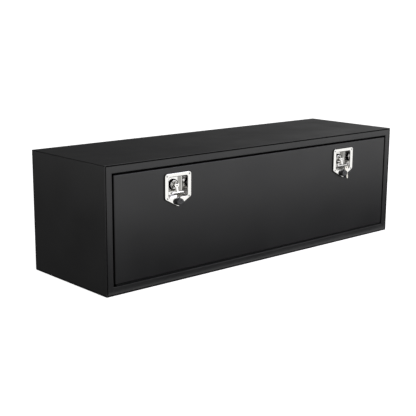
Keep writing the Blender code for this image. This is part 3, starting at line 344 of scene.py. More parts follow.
def place_piece(name, bm, look, body, shift=(0, 0, 0), sharp=40):
    """Moves a finished bmesh to its place and makes it a piece that rides on a body."""
    bmesh.ops.translate(bm, verts=bm.verts, vec=shift)
    mesh = bpy.data.meshes.new(name)
    bm.to_mesh(mesh)
    bm.free()
    mesh.shade_smooth()
    mesh.set_sharp_from_angle(angle=math.radians(sharp))
    mesh.materials.append(look)
    piece = put_in(name, mesh)
    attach(piece, body)
    return piece


def melt_together(piece, voxel, passes):
    """Fuses overlapping shapes into one skin and smooths its inner corners into fillets."""
    skin = piece.modifiers.new("one_skin", "REMESH")
    skin.mode = "VOXEL"
    skin.voxel_size = voxel
    skin.use_smooth_shade = True
    polish = piece.modifiers.new("polish", "SMOOTH")
    polish.factor = 0.5
    polish.iterations = passes


def give_thickness(piece, sheet):
    """Thickens a pressed sheet away from its face."""
    made = piece.modifiers.new("sheet", "SOLIDIFY")
    made.thickness = sheet
    made.offset = -1
    return made


def rounded_face(bm, corners, back, steps=6):
    """One face in the plate's plane. Each corner is (x, z, radius) and is rounded by bevelling its vertex."""
    verts = [bm.verts.new((x, back, z)) for x, z, _ in corners]
    bm.faces.new(verts)
    count = len(corners)
    for index, vert in enumerate(verts):
        before = Vector(corners[index - 1][:2]) - Vector(corners[index][:2])
        after = Vector(corners[(index + 1) % count][:2]) - Vector(corners[index][:2])
        offset = corners[index][2] / math.tan(before.angle(after) / 2)
        bmesh.ops.bevel(
            bm, geom=[vert], offset=offset, offset_type="OFFSET", affect="VERTICES", segments=steps, profile=0.5,
            material=-1,
        )
    return bm.faces[:][0]


def step_in(bm, face, profile):
    """Insets a face step by step, so that the wall it leaves follows a profile of (inward, forward) places."""
    inward, forward = profile[0]
    for new_inward, new_forward in profile[1:]:
        bmesh.ops.inset_region(
            bm, faces=[face], thickness=max(new_inward - inward, TINY), depth=new_forward - forward,
            use_even_offset=True, use_boundary=True,
        )
        inward, forward = new_inward, new_forward


def quarter(start, across, up, rising=False):
    """Places on a quarter round of the given width and height, steep or flat at its start."""
    places = []
    for index in range(ROUND_STEPS + 1):
        angle = math.pi / 2 * index / ROUND_STEPS
        if rising:
            places.append((start[0] + across * (1 - math.cos(angle)), start[1] + up * math.sin(angle)))
        else:
            places.append((start[0] + across * math.sin(angle), start[1] + up * (1 - math.cos(angle))))
    return places


def circle(bm, x, z, radius, back, steps=32):
    """A ring of vertices in the plate's plane. Returns its edges."""
    turn = Matrix.Translation((x, back, z)) @ Matrix.Rotation(math.pi / 2, 4, "X")
    ring = bmesh.ops.create_circle(bm, radius=radius, segments=steps, matrix=turn)["verts"]
    return list({edge for vert in ring for edge in vert.link_edges})


def block(bm, low, high):
    """A plain block between two corners. Returns its vertices."""
    low, high = Vector(low), Vector(high)
    matrix = Matrix.Translation((low + high) / 2) @ Matrix.Diagonal((*(high - low), 1))
    return bmesh.ops.create_cube(bm, size=1, matrix=matrix)["verts"]


def tube(half, bore, outside):
    """A short tube's closed line of (along, radius) places."""
    return [(-half, bore), (-half, outside), (half, outside), (half, bore), (-half, bore)]


def thicken(bm, depth):
    """Turns a flat sheet into a plate that reaches backward by a depth."""
    moved = bmesh.ops.extrude_face_region(bm, geom=bm.faces[:], use_keep_orig=True)["geom"]
    back = [item for item in moved if isinstance(item, bmesh.types.BMVert)]
    bmesh.ops.translate(bm, verts=back, vec=(0, depth, 0))
    bmesh.ops.recalc_face_normals(bm, faces=bm.faces)


def join_in(bm, other):
    """Adds another bmesh to this one and frees it. Returns the new edges."""
    old = set(bm.edges)
    mesh = bpy.data.meshes.new("joined")
    other.to_mesh(mesh)
    other.free()
    bm.from_mesh(mesh)
    bpy.data.meshes.remove(mesh)
    return [edge for edge in bm.edges if edge not in old]


def connected(start):
    """Every vertex that is joined to this one by edges."""
    found, waiting = {start}, [start]
    while waiting:
        for edge in waiting.pop().link_edges:
            for vert in edge.verts:
                if vert not in found:
                    found.add(vert)
                    waiting.append(vert)
    return found


def lathe(bm, profile, axis, centre=(0, 0, 0), steps=32):
    """Turns a profile of (along, radius) places round an axis through a centre, as a lathe would."""
    axis = Vector(axis)
    side = axis.orthogonal().normalized()
    centre = Vector(centre)
    verts = [bm.verts.new(centre + axis * along + side * radius) for along, radius in profile]
    edges = [bm.edges.new(pair) for pair in zip(verts, verts[1:])]
    bmesh.ops.spin(bm, geom=verts + edges, cent=centre, axis=axis, angle=math.tau, steps=steps, use_merge=True)
    shell = list({vert for vert in verts if vert.is_valid} | connected(verts[0]))
    bmesh.ops.remove_doubles(bm, verts=shell, dist=TINY)
    shell = [vert for vert in shell if vert.is_valid]
    faces = list({face for vert in shell for face in vert.link_faces})
    bmesh.ops.recalc_face_normals(bm, faces=faces)
    return faces


print("latch hubs:", [tuple(round(value / MM, 1) for value in hub(side)) for side in SIDES])

# %% [markdown]
# ## Face plates
# Each latch's dish is one stainless blank, pressed in a die. Its edge rolls back onto the gasket, and its pan is
# drawn 30 mm deep with a round lip and a round floor. Insetting one face again and again is just what the press
# does: each step moves the metal in and back, so the walls follow the die's profile. A narrow flat ring beside each
# round and each hole keeps the shading of the big flats clean. The sheet's thickness comes last, from a Solidify
# modifier.

# %% Press the dishes
PLATE_MM = [(-60.5, 46.5, 11), (-60.5, -45.0, 8), (0, -77.5, 9), (60.5, -45.0, 8), (60.5, 46.5, 11)]
PLATE = [tuple(value * MM for value in corner) for corner in PLATE_MM]
PAN_SIDE = 44 * MM
PAN_TOP = 32.5 * MM
PAN_BOTTOM = 42 * MM
PAN_CORNER = 8 * MM
PAN_DEPTH = 30 * MM
LIP = 2.2 * MM
FLOOR_ROUND = 3.5 * MM
DRAFT = 2.6 * MM
ROLLED_EDGE = 1.8 * MM
DISH_SHEET = 1.4 * MM
FLAT_RING = 0.7 * MM
FLAT_STEP = [(0, 0), (FLAT_RING, 0)]
LOCK_DROP = 59.7 * MM
LOCK_HOLE = 9.8 * MM
SPINDLE_HOLE = 7.3 * MM
GASKET = 2.9 * MM
GASKET_EASE = 2.4 * MM


def pan_corners(grow):
    """The corners of the pan's rounded rectangle, grown all round."""
    side, top, bottom, radius = PAN_SIDE + grow, PAN_TOP + grow, -PAN_BOTTOM - grow, PAN_CORNER + grow
    return [(-side, top, radius), (-side, bottom, radius), (side, bottom, radius), (side, top, radius)]


def ringed_hole(bm, x, z, radius, back):
    """A round hole with a narrow flat ring round it. Returns the ring's outer edges, for a fill."""
    inner = circle(bm, x, z, radius, back)
    outer = circle(bm, x, z, radius + FLAT_RING, back)
    bmesh.ops.bridge_loops(bm, edges=inner + outer)
    return outer


def drawn_pan():
    """The pan alone, from its mouth over the lip and down the wall to the floor with the spindle's hole."""
    pan = bmesh.new()
    floor_face = rounded_face(pan, pan_corners(LIP + FLAT_RING), 0, steps=8)
    step_in(pan, floor_face, FLAT_STEP)
    step_in(pan, floor_face, quarter((0, 0), LIP, -LIP))
    wall_end = (LIP + DRAFT, FLOOR_ROUND - PAN_DEPTH)
    step_in(pan, floor_face, [(LIP, -LIP), wall_end])
    step_in(pan, floor_face, quarter(wall_end, FLOOR_ROUND, -FLOOR_ROUND, rising=True))
    step_in(pan, floor_face, FLAT_STEP)
    floor_edge = list(floor_face.edges)
    pan.faces.remove(floor_face)
    hole = ringed_hole(pan, 0, 0, SPINDLE_HOLE, PAN_DEPTH)
    bmesh.ops.triangle_fill(pan, use_beauty=True, edges=floor_edge + hole)
    return pan


def pressed_dish(side):
    """A latch's face plate with its drawn pan."""
    bm = bmesh.new()
    plate = rounded_face(bm, PLATE, ROLLED_EDGE)
    step_in(bm, plate, quarter((0, 0), ROLLED_EDGE, ROLLED_EDGE, rising=True))
    step_in(bm, plate, FLAT_STEP)
    rim = list(plate.edges)
    bmesh.ops.delete(bm, geom=[plate], context="FACES_ONLY")
    mouth = [
        edge for edge in join_in(bm, drawn_pan())
        if edge.is_boundary and all(abs(vert.co.y) < TINY for vert in edge.verts)
    ]
    hole = ringed_hole(bm, 0, -LOCK_DROP, LOCK_HOLE, 0)
    bmesh.ops.triangle_fill(bm, use_beauty=True, edges=rim + mouth + hole)
    bmesh.ops.recalc_face_normals(bm, faces=bm.faces)
    front = max(bm.faces, key=lambda face: face.calc_area() if abs(face.calc_center_median().y) < TINY else 0)
    if front.normal.y > 0:
        bmesh.ops.reverse_faces(bm, faces=bm.faces)
    piece = place_piece("pressed_dish_" + side, bm, drawn_steel, "door", hub(side), sharp=50)
    give_thickness(piece, DISH_SHEET).use_even_offset = True
    piece.modifiers.new("flat_faces", "WEIGHTED_NORMAL").keep_sharp = True
    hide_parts("latch_dish_" + side)
    return piece


def gasket_sheet(side):
    """The gasket, stamped from rubber sheet to the plate's own outline."""
    bm = bmesh.new()
    sheet = rounded_face(bm, PLATE, FACE_ABOVE_GASKET)
    outside = list(sheet.edges)
    bmesh.ops.delete(bm, geom=[sheet], context="FACES_ONLY")
    window = bmesh.new()
    rounded_face(window, pan_corners(GASKET_EASE), FACE_ABOVE_GASKET, steps=8)
    inside = join_in(bm, window)
    bmesh.ops.delete(bm, geom=list({face for edge in inside for face in edge.link_faces}), context="FACES_ONLY")
    hole = circle(bm, 0, -LOCK_DROP, LOCK_HOLE, FACE_ABOVE_GASKET)
    bmesh.ops.triangle_fill(bm, use_beauty=True, edges=outside + inside + hole)
    thicken(bm, GASKET)
    piece = place_piece("gasket_sheet_" + side, bm, seal_rubber, "door", hub(side), sharp=30)
    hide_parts("latch_gasket_" + side)
    return piece


dishes = [pressed_dish(side) for side in SIDES]
gaskets = [gasket_sheet(side) for side in SIDES]
print("dish faces:", [len(piece.data.polygons) for piece in dishes + gaskets])

# %% [markdown]
# ## Small turned parts of the face plate
# Four blind rivets hold each plate to the door, and a stainless pin in two ears carries the dust cap. Turned and
# headed parts come from a lathe or a die, so each one is a profile that is spun round its axis.

# %% Rivets, ears and hinge pin
RIVETS = [(-51.5, 38.0), (51.5, 38.0), (-49.5, -42.5), (49.5, -42.5)]
RIVET_RADIUS = 3.2 * MM
RIVET_HEIGHT = 1.3 * MM
STEM = 1.3 * MM
STEM_FLOOR = 0.1 * MM
HEAD_SUNK = 0.2 * MM
TAIL_RADIUS = 3.0 * MM
TAIL_HEIGHT = 1.4 * MM
DOOR_BACK = 7.3 * MM
EAR_INNER = 5.0 * MM
EAR = 1.8 * MM
EAR_PROUD = 3.9 * MM
EAR_ROOT = 0.9 * MM
EAR_HALF = 2.0 * MM
EAR_ROUND = 0.6 * MM
PIN_PROUD = 2.2 * MM
PIN_DROP = 44.1 * MM
PIN_RADIUS = 0.8 * MM
PIN_HEAD = 1.3 * MM
PIN_REACH = EAR_INNER + EAR + 0.3 * MM
PIN = [
    (-PIN_REACH - 0.6 * MM, 0), (-PIN_REACH - 0.5 * MM, PIN_HEAD * 0.7), (-PIN_REACH, PIN_HEAD),
    (-PIN_REACH + 0.3 * MM, PIN_HEAD), (-PIN_REACH + 0.3 * MM, PIN_RADIUS), (PIN_REACH, PIN_RADIUS),
    (PIN_REACH + 0.2 * MM, PIN_RADIUS * 0.7), (PIN_REACH + 0.2 * MM, 0),
]


def dome(radius, height, steps=5, hole=0.0):
    """Half profile of a low domed head. A blind rivet's has a hole in its crown, with the snapped stem below."""
    places = [(-HEAD_SUNK, 0), (-HEAD_SUNK, radius)]
    for index in range(steps + 1):
        angle = math.pi / 2 * index / steps
        if radius * math.cos(angle) > hole:
            places.append((height * math.sin(angle), radius * math.cos(angle)))
    if hole:
        return places + [(height, hole), (STEM_FLOOR, hole * 0.9), (STEM_FLOOR, 0)]
    return places + [(height, 0)]


for side in SIDES:
    bm = bmesh.new()
    for x, z in RIVETS:
        lathe(bm, dome(RIVET_RADIUS, RIVET_HEIGHT, 6, STEM), (0, -1, 0), (x * MM, 0, z * MM), steps=20)
        lathe(bm, dome(TAIL_RADIUS, TAIL_HEIGHT, 3), (0, 1, 0), (x * MM, DOOR_BACK, z * MM), steps=16)
    place_piece("plate_rivets_" + side, bm, zinc, "door", hub(side))
    bm = bmesh.new()
    for sign in (-1, 1):
        middle = Vector((sign * (EAR_INNER + EAR / 2), 0, -PIN_DROP))
        ear = block(bm, middle - Vector((EAR / 2, EAR_PROUD, EAR_HALF)), middle + Vector((EAR / 2, EAR_ROOT, EAR_HALF)))
        front = [
            edge for edge in {edge for vert in ear for edge in vert.link_edges}
            if all(vert.co.y < 0 for vert in edge.verts)
        ]
        bmesh.ops.bevel(
            bm, geom=front, offset=EAR_ROUND, offset_type="OFFSET", affect="EDGES", segments=3, profile=0.5,
            material=-1,
        )
    lathe(bm, PIN, (1, 0, 0), (0, -PIN_PROUD, -PIN_DROP), steps=16)
    place_piece("cap_hinge_" + side, bm, stainless, "door", hub(side))
print("rivets:", len(RIVETS) * len(SIDES))

# %% [markdown]
# ## T-handles
# A T-handle is a stainless forging, trimmed and polished until its bar, shank and eye run into each other. Three
# plain shapes overlap here: a turned bar, a tapered shank and a turned eye. A voxel Remesh fuses them into one skin,
# and a Smooth modifier draws the inner corners out into fillets, as a polishing wheel does.

# %% Forge the handles
BAR_HALF = 30.5 * MM
BAR_RADIUS = 5.2 * MM
BAR_TIP = 4.6 * MM
BAR_BACK = 6.5 * MM
BAR_DROP = 26.5 * MM
BAR_STEPS = 10
NOSE_STEPS = 5
EYE_BACK = 14 * MM
EYE_RADIUS = 6.1 * MM
EYE_BORE = 2.7 * MM
EYE_LAP = 1.2 * MM
HANDLE_HALF = 4.0 * MM
SHANK = 9.4 * MM
NECK = 8.0 * MM
HANDLE_VOXEL = 0.6 * MM
HANDLE_POLISH = 8


def bar_profile():
    """The bar's radius along its length: a slight belly in the middle and a round nose at each end."""
    straight = BAR_HALF - BAR_TIP
    nose = []
    for index in range(1, NOSE_STEPS + 1):
        angle = math.pi / 2 * index / NOSE_STEPS
        nose.append((straight + BAR_TIP * math.cos(angle), BAR_TIP * math.sin(angle)))
    places = [(-BAR_HALF, 0)] + [(-along, radius) for along, radius in nose]
    for index in range(1, BAR_STEPS):
        along = -straight + 2 * straight * index / BAR_STEPS
        belly = math.cos(math.pi / 2 * along / straight)
        places.append((along, BAR_TIP + (BAR_RADIUS - BAR_TIP) * belly))
    return places + nose[::-1] + [(BAR_HALF, 0)]


for side in SIDES:
    bm = bmesh.new()
    lathe(bm, bar_profile(), (1, 0, 0), (0, BAR_BACK, -BAR_DROP))
    lathe(bm, tube(HANDLE_HALF, EYE_BORE, EYE_RADIUS), (1, 0, 0), (0, EYE_BACK, 0), steps=40)
    eye_middle, end = Vector((0, EYE_BACK, 0)), Vector((0, BAR_BACK, -BAR_DROP))
    start = eye_middle + (end - eye_middle).normalized() * (EYE_BORE + EYE_LAP)
    turn = (end - start).to_track_quat("Z", "X").to_matrix().to_4x4()
    turn = Matrix.Translation((start + end) / 2) @ turn
    for vert in bmesh.ops.create_cube(bm, size=1)["verts"]:
        thick = SHANK if vert.co.z < 0 else NECK
        vert.co = turn @ Vector((vert.co.x * 2 * HANDLE_HALF, vert.co.y * thick, vert.co.z * (end - start).length))
    piece = place_piece("handle_forging_" + side, bm, stainless, "handle_" + side, hub(side), sharp=180)
    melt_together(piece, HANDLE_VOXEL, HANDLE_POLISH)
    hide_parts("t_handle_" + side)
print("handles: bar", round(2 * BAR_HALF / MM), "mm long")

# %% [markdown]
# ## Cup washers
# Behind each spindle's head lies a stainless cup washer. It hides the hole's edge and keeps grit out. It is pressed
# from sheet, so its section is one line that runs from the boss over a soft dome and down a short skirt. The line is
# spun round the spindle and given its thickness, which keeps the skirt as thin as the real one.

# %% Press the cup washers
CUP_INNER = 10.7 * MM
CUP_RADIUS = 16.6 * MM
CUP_FRONT = 22.6 * MM
CUP_BACK = 29.4 * MM
CUP_ROUND = 2.4 * MM
CUP_ROUND_STEPS = 6
CUP_SHEET = 0.9 * MM
CUP_FLARE = 0.4 * MM
CUP_BOSS = [(0.9 * MM, 0), (0.3 * MM, 1.2 * MM)]


def cup_section():
    """The washer's outer line: (backward, radius), from its inner edge over the dome to the skirt's foot."""
    places = [(CUP_FRONT + back, CUP_INNER + outward) for back, outward in CUP_BOSS]
    for index in range(CUP_ROUND_STEPS + 1):
        angle = math.pi / 2 * index / CUP_ROUND_STEPS
        places.append(
            (CUP_FRONT + CUP_ROUND * (1 - math.cos(angle)), CUP_RADIUS - CUP_ROUND * (1 - math.sin(angle)))
        )
    return places + [(CUP_BACK - CUP_FLARE, CUP_RADIUS), (CUP_BACK, CUP_RADIUS + CUP_FLARE)]


for side in SIDES:
    bm = bmesh.new()
    faces = lathe(bm, cup_section(), (0, 1, 0), steps=64)
    if sum(face.normal.y * face.calc_area() for face in faces) > 0:
        bmesh.ops.reverse_faces(bm, faces=faces)
    piece = place_piece("cup_washer_" + side, bm, stainless, "spindle_" + side, hub(side), sharp=60)
    give_thickness(piece, CUP_SHEET)
print("cup washers:", round(2 * CUP_RADIUS / MM, 1), "mm across")

# %% [markdown]
# ## Rubber collars
# A black rubber collar stands round each cup washer and keeps water out of the spindle's hole. Its matt near-black is
# painted shade, for the dark ring of shade round the cup washer. It is a moulded ring, so its whole section is one
# closed line that is spun once. It stays with the door while the spindle turns in it.

# %% Mould the collars
COLLAR_INNER = 17.3 * MM
COLLAR_OUTER = 19.9 * MM
COLLAR_FRONT = 23.4 * MM
COLLAR_BACK = 29.9 * MM
COLLAR_ROUND = 1.2 * MM
COLLAR_ROUND_STEPS = 8
COLLAR_TAPER = 0.6 * MM
COLLAR_TOP = COLLAR_OUTER - COLLAR_TAPER


def collar_section():
    """The collar's closed line: (backward, radius), round its nose and down its tapered outside."""
    middle, half = (COLLAR_INNER + COLLAR_TOP) / 2, (COLLAR_TOP - COLLAR_INNER) / 2
    places = [(COLLAR_BACK, COLLAR_INNER), (COLLAR_FRONT + COLLAR_ROUND, COLLAR_INNER)]
    for index in range(1, COLLAR_ROUND_STEPS):
        angle = math.pi * index / COLLAR_ROUND_STEPS
        places.append((COLLAR_FRONT + COLLAR_ROUND * (1 - math.sin(angle)), middle - half * math.cos(angle)))
    return places + [
        (COLLAR_FRONT + COLLAR_ROUND, COLLAR_TOP), (COLLAR_BACK, COLLAR_OUTER), (COLLAR_BACK, COLLAR_INNER)
    ]


for side in SIDES:
    bm = bmesh.new()
    lathe(bm, collar_section(), (0, 1, 0), steps=48)
    # Painted shade: the collar's matt near-black stands for the shade round the cup washer.
    place_piece("spindle_collar_" + side, bm, shade_sealer, "door", hub(side), sharp=50)
print("collars:", round(2 * COLLAR_OUTER / MM, 1), "mm across")

# %% [markdown]
# ## Dust caps
# A dust cap is one EPDM moulding: a wide oval cup with a soft edge, a raised bead on its face and a hinge knuckle
# above. A thumb under either end of the oval flips it up. It could be cut from a cylinder, but rubber has no crisp
# inner corners. So cup, neck and knuckle overlap as simple shapes, the cup turned round and then stretched sideways,
# and a fine voxel Remesh with a little smoothing melts them into one moulding.

# %% Mould the dust caps
CAP_RADIUS = 13.0 * MM
CAP_DEPTH = 13.2 * MM
CAP_DROP = 58.1 * MM
CAP_BACK = 0.3 * MM
CAP_WALL = 1.7 * MM
CAP_FACE = 0.5 * MM
CAP_EDGE = 4.6 * MM
CAP_EDGE_STEPS = 6
CAP_BEAD = (5.0 * MM, 5.8 * MM, 6.8 * MM)
CAP_RIM = (0.3 * MM, 0.4 * MM)
CAP_RIM_STEP = (1.9 * MM, 2.4 * MM)
CAP_HOLLOW_DRAFT = 0.6 * MM
CAP_STRETCH = 1.38
CAP_VOXEL = 0.42 * MM
CAP_POLISH = 3
KNUCKLE = 1.75 * MM
KNUCKLE_HALF = 4.6 * MM
KNUCKLE_BORE = 1.0 * MM
NECK_BACK = 0.7 * MM
NECK_TOP = 1.1 * MM


def cap_profile():
    """The cap's section: (forward, radius), from the middle of its face over its edge to the inside."""
    face, inside = CAP_DEPTH, CAP_DEPTH - CAP_WALL - CAP_FACE
    places = [(face - CAP_FACE, 0), (face - CAP_FACE, CAP_BEAD[0]), (face, CAP_BEAD[1]), (face, CAP_BEAD[2])]
    for index in range(1, CAP_EDGE_STEPS + 1):
        angle = math.pi / 2 * index / CAP_EDGE_STEPS
        places.append(
            (face - CAP_EDGE * (1 - math.cos(angle)), CAP_RADIUS - CAP_RIM[1] - CAP_EDGE * (1 - math.sin(angle)))
        )
    return places + [
        (CAP_BACK + CAP_RIM_STEP[1], CAP_RADIUS - CAP_RIM[0]), (CAP_BACK + CAP_RIM_STEP[0], CAP_RADIUS),
        (CAP_BACK, CAP_RADIUS), (CAP_BACK, CAP_RADIUS - CAP_WALL),
        (face - CAP_EDGE, CAP_RADIUS - CAP_WALL - CAP_HOLLOW_DRAFT),
        (inside, CAP_RADIUS - CAP_EDGE - CAP_WALL), (inside, 0),
    ]


for side in SIDES:
    bm = bmesh.new()
    cup = lathe(bm, cap_profile(), (0, -1, 0), (0, 0, -CAP_DROP), steps=48)
    bmesh.ops.scale(bm, verts=list({vert for face in cup for vert in face.verts}), vec=(CAP_STRETCH, 1, 1))
    lathe(bm, tube(KNUCKLE_HALF, KNUCKLE_BORE, KNUCKLE), (1, 0, 0), (0, -PIN_PROUD, -PIN_DROP), steps=20)
    block(
        bm, (-KNUCKLE_HALF, -PIN_PROUD - KNUCKLE, -CAP_DROP + CAP_RADIUS - CAP_WALL),
        (KNUCKLE_HALF, -PIN_PROUD + NECK_BACK, -PIN_DROP - NECK_TOP),
    )
    piece = place_piece("cap_moulding_" + side, bm, cap_rubber, "cap_" + side, hub(side), sharp=180)
    melt_together(piece, CAP_VOXEL, CAP_POLISH)
    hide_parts("dust_cap_" + side)
print("caps:", round(2 * CAP_RADIUS * CAP_STRETCH / MM, 1), "mm across")

# %% [markdown]
# ## Split ring
# The key hangs on a split ring round the right handle's bar. The ring is flat wire wound twice. Two rings side by
# side would look much the same, but only a rectangle that is spun through two turns, while it creeps sideways, has
# the real one's open ends.

# %% Wind the ring
RING_RADIUS = 9.0 * MM
RING_WIRE = 1.15 * MM
RING_WIRE_SHARE = 0.92
RING_TURNS = 2
RING_STEPS = 40
RING_EDGE = 0.12 * MM
RING_LOW, RING_HIGH = corners_of("key_ring")

bm = bmesh.new()
centre = (RING_LOW + RING_HIGH) / 2
creep = (RING_HIGH.x - RING_LOW.x) / (RING_TURNS + 1)
start = centre + Vector((-(RING_HIGH.x - RING_LOW.x) / 2 + creep / 2, 0, RING_RADIUS))
upright = Matrix.Rotation(math.pi / 2, 4, "X")
size = Matrix.Diagonal((creep * RING_WIRE_SHARE, 1, RING_WIRE, 1))
bmesh.ops.create_grid(bm, x_segments=1, y_segments=1, size=0.5, matrix=Matrix.Translation(start) @ size @ upright)
steps = RING_STEPS * RING_TURNS
bmesh.ops.spin(
    bm, geom=bm.faces[:], cent=centre, axis=(1, 0, 0), angle=math.tau * RING_TURNS, steps=steps,
    dvec=(creep * RING_TURNS / steps, 0, 0), use_merge=False,
)
bmesh.ops.recalc_face_normals(bm, faces=bm.faces)
bmesh.ops.bevel(
    bm, geom=[edge for edge in bm.edges if len(edge.link_faces) == 2 and edge.calc_face_angle() > 1.2],
    offset=RING_EDGE, offset_type="OFFSET", affect="EDGES", segments=2, profile=0.5, material=-1,
)
ring = place_piece("split_ring", bm, stainless, "key_set")
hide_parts("key_ring")
print("split ring:", round(2 * RING_RADIUS / MM, 1), "mm across the wire's middle")

# %% [markdown]
# ## Key
# The key is a nickel plated blank with a round bow, a milled groove along both sides of its blade, and cuts along
# one edge. It is stamped flat, so its outline is drawn once, filled and thickened, and then the groove is sunk, much
# as the blank goes through the press, the mill and the key cutter.

# %% Cut the key
KEY_LOW, KEY_HIGH = corners_of("key")
KEY_BOW = 10 * MM
KEY_BOW_STEPS = 32
KEY_HALF = 4.25 * MM
KEY_SHOULDER = 2.5 * MM
KEY_TIP = ((-1, 2.6), (-0.3, 0), (0.3, 0), (0.8, 2.2))
KEY_CUTS = (1.3, 0.5, 1.6, 0.9, 1.2)
KEY_CUT_SHARES = (0.35, 0.6)
KEY_CUTS_START = 3.2 * MM
KEY_CUTS_SPARE = 6 * MM
KEY_HOLE = 2.5 * MM
KEY_HOLE_RISE = 0.9 * MM
KEY_TILT = math.radians(10)
KEY_EDGE_FROM = 60
GROOVE_SIDES = (-2.0 * MM, -0.2 * MM)
GROOVE_LOW = 3 * MM
GROOVE_HIGH = 1 * MM
GROOVE_SLOPE = 0.15 * MM
GROOVE_DEPTH = 0.4 * MM

middle = (KEY_LOW.x + KEY_HIGH.x) / 2
top, tip = KEY_HIGH.z, KEY_LOW.z
front, back = KEY_LOW.y, KEY_HIGH.y
bow_centre = top - KEY_BOW
shoulder = bow_centre - KEY_BOW - KEY_SHOULDER
neck = math.asin(KEY_HALF / KEY_BOW)
outline = []
for index in range(KEY_BOW_STEPS + 1):
    angle = -math.pi / 2 + neck + (math.tau - 2 * neck) * index / KEY_BOW_STEPS
    outline.append((middle + KEY_BOW * math.cos(angle), bow_centre + KEY_BOW * math.sin(angle)))
outline += [(middle + KEY_HALF * share, tip + rise * MM) for share, rise in KEY_TIP]
pitch = (shoulder - tip - KEY_CUTS_SPARE) / len(KEY_CUTS)
for index, depth in enumerate(KEY_CUTS):
    low = tip + KEY_CUTS_START + pitch * index
    outline.append((middle + KEY_HALF, low))
    outline += [(middle + KEY_HALF - depth * MM, low + pitch * share) for share in KEY_CUT_SHARES]
outline.append((middle + KEY_HALF, shoulder))

bm = bmesh.new()
verts = [bm.verts.new((x, front, z)) for x, z in outline]
edges = [bm.edges.new((verts[index - 1], verts[index])) for index in range(len(verts))]
ring_bottom = RING_LOW.z
edges += circle(bm, middle, ring_bottom + KEY_HOLE_RISE, KEY_HOLE, front, steps=20)
bmesh.ops.triangle_fill(bm, use_beauty=True, edges=edges)
bmesh.ops.dissolve_limit(bm, angle_limit=0.01, verts=bm.verts, edges=bm.edges)
thicken(bm, back - front)
groove_sides = [middle + place for place in GROOVE_SIDES]
groove_ends = [tip + GROOVE_LOW, shoulder - GROOVE_HIGH]
for places, way in ((groove_sides, (1, 0, 0)), (groove_ends, (0, 0, 1))):
    for place in places:
        bmesh.ops.bisect_plane(
            bm, geom=bm.verts[:] + bm.edges[:] + bm.faces[:], dist=1e-7, plane_co=(place, 0, place), plane_no=way
        )
for way in (-1, 1):
    milled = []
    for face in bm.faces:
        spot = face.calc_center_median()
        beside = groove_sides[0] < spot.x < groove_sides[1] and groove_ends[0] < spot.z < groove_ends[1]
        if beside and face.normal.y * way > 0.9:
            milled.append(face)
    bmesh.ops.inset_region(bm, faces=milled, thickness=GROOVE_SLOPE, depth=-GROOVE_DEPTH, use_even_offset=True)
tilt = Matrix.Rotation(-KEY_TILT, 3, "Y")
bmesh.ops.rotate(bm, verts=bm.verts, cent=(middle, front, ring_bottom), matrix=tilt)
key = place_piece("cut_key", bm, nickel, "key_set", sharp=30)
soft_edges(key, SMALL_EDGE, KEY_EDGE_FROM)
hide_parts("key")
print("key:", round((top - tip) / MM, 1), "mm long")

# %% [markdown]
# ## Sealer as painted shade in the front seam
# The frame nests inside the case, so a groove runs all round the front where its folds meet the case's raw edges.
# A matt near-black sealer fills that groove. It is painted shade, for the shade that falls there. It is modelled as
# a fillet: a few section points carried round the rectangle of the seam, one straight run per side, bridged ring to
# ring.

# %% Lay the painted shade into the front seam
WRAP_LOW, WRAP_HIGH = corners_of("body_wrap")
CASE_SHEET = 1.9 * MM
SEAM_SECTION = [
    (-0.15, 0.1), (0.9, 0.45), (2.4, 0.4), (3.8, -0.1), (4.7, 0.25), (3.6, 0.9), (2.2, 2.2), (0.6, 3.6), (-0.15, 3.4)
]

bm = bmesh.new()
rings = []
for inward, backward in SEAM_SECTION:
    edge = CASE_SHEET + inward * MM
    y = WRAP_LOW.y + backward * MM
    left, right, bottom, top = WRAP_LOW.x + edge, WRAP_HIGH.x - edge, WRAP_LOW.z + edge, WRAP_HIGH.z - edge
    corners = ((left, y, bottom), (right, y, bottom), (right, y, top), (left, y, top))
    verts = [bm.verts.new(corner) for corner in corners]
    rings.append([bm.edges.new((verts[index - 1], verts[index])) for index in range(len(verts))])
for index, ring in enumerate(rings):
    bmesh.ops.bridge_loops(bm, edges=rings[index - 1] + ring)
bmesh.ops.recalc_face_normals(bm, faces=bm.faces)
# Painted shade: a matt near-black fillet in the groove round the front, where shade falls.
place_piece("seam_shade_sealer", bm, shade_sealer, "box", sharp=50)
print("sealer: round", round((right - left) / MM), "x", round((top - bottom) / MM), "mm")

# %% [markdown]
# ## Door seal
# A hollow D-shaped rubber seal is glued to the frame's landing, and the door's folded edge presses into it. It is
# bought by the metre and bent round the corners. So one face with rounded corners is inset step by step along the
# seal's section, its middle is cut away, and the back is closed by a bridge between the first and last edge.

# %% Glue in the door seal
SEAL_LOW, SEAL_HIGH = corners_of("door_seal")
SEAL_BEND = 18 * MM
SEAL_BEND_STEPS = 10
SEAL_WIDTH = 10 * MM
SEAL_FOOT = 0.7 * MM
SEAL_BULGE = SEAL_HIGH.y - SEAL_LOW.y - SEAL_FOOT
SEAL_STEPS = 12

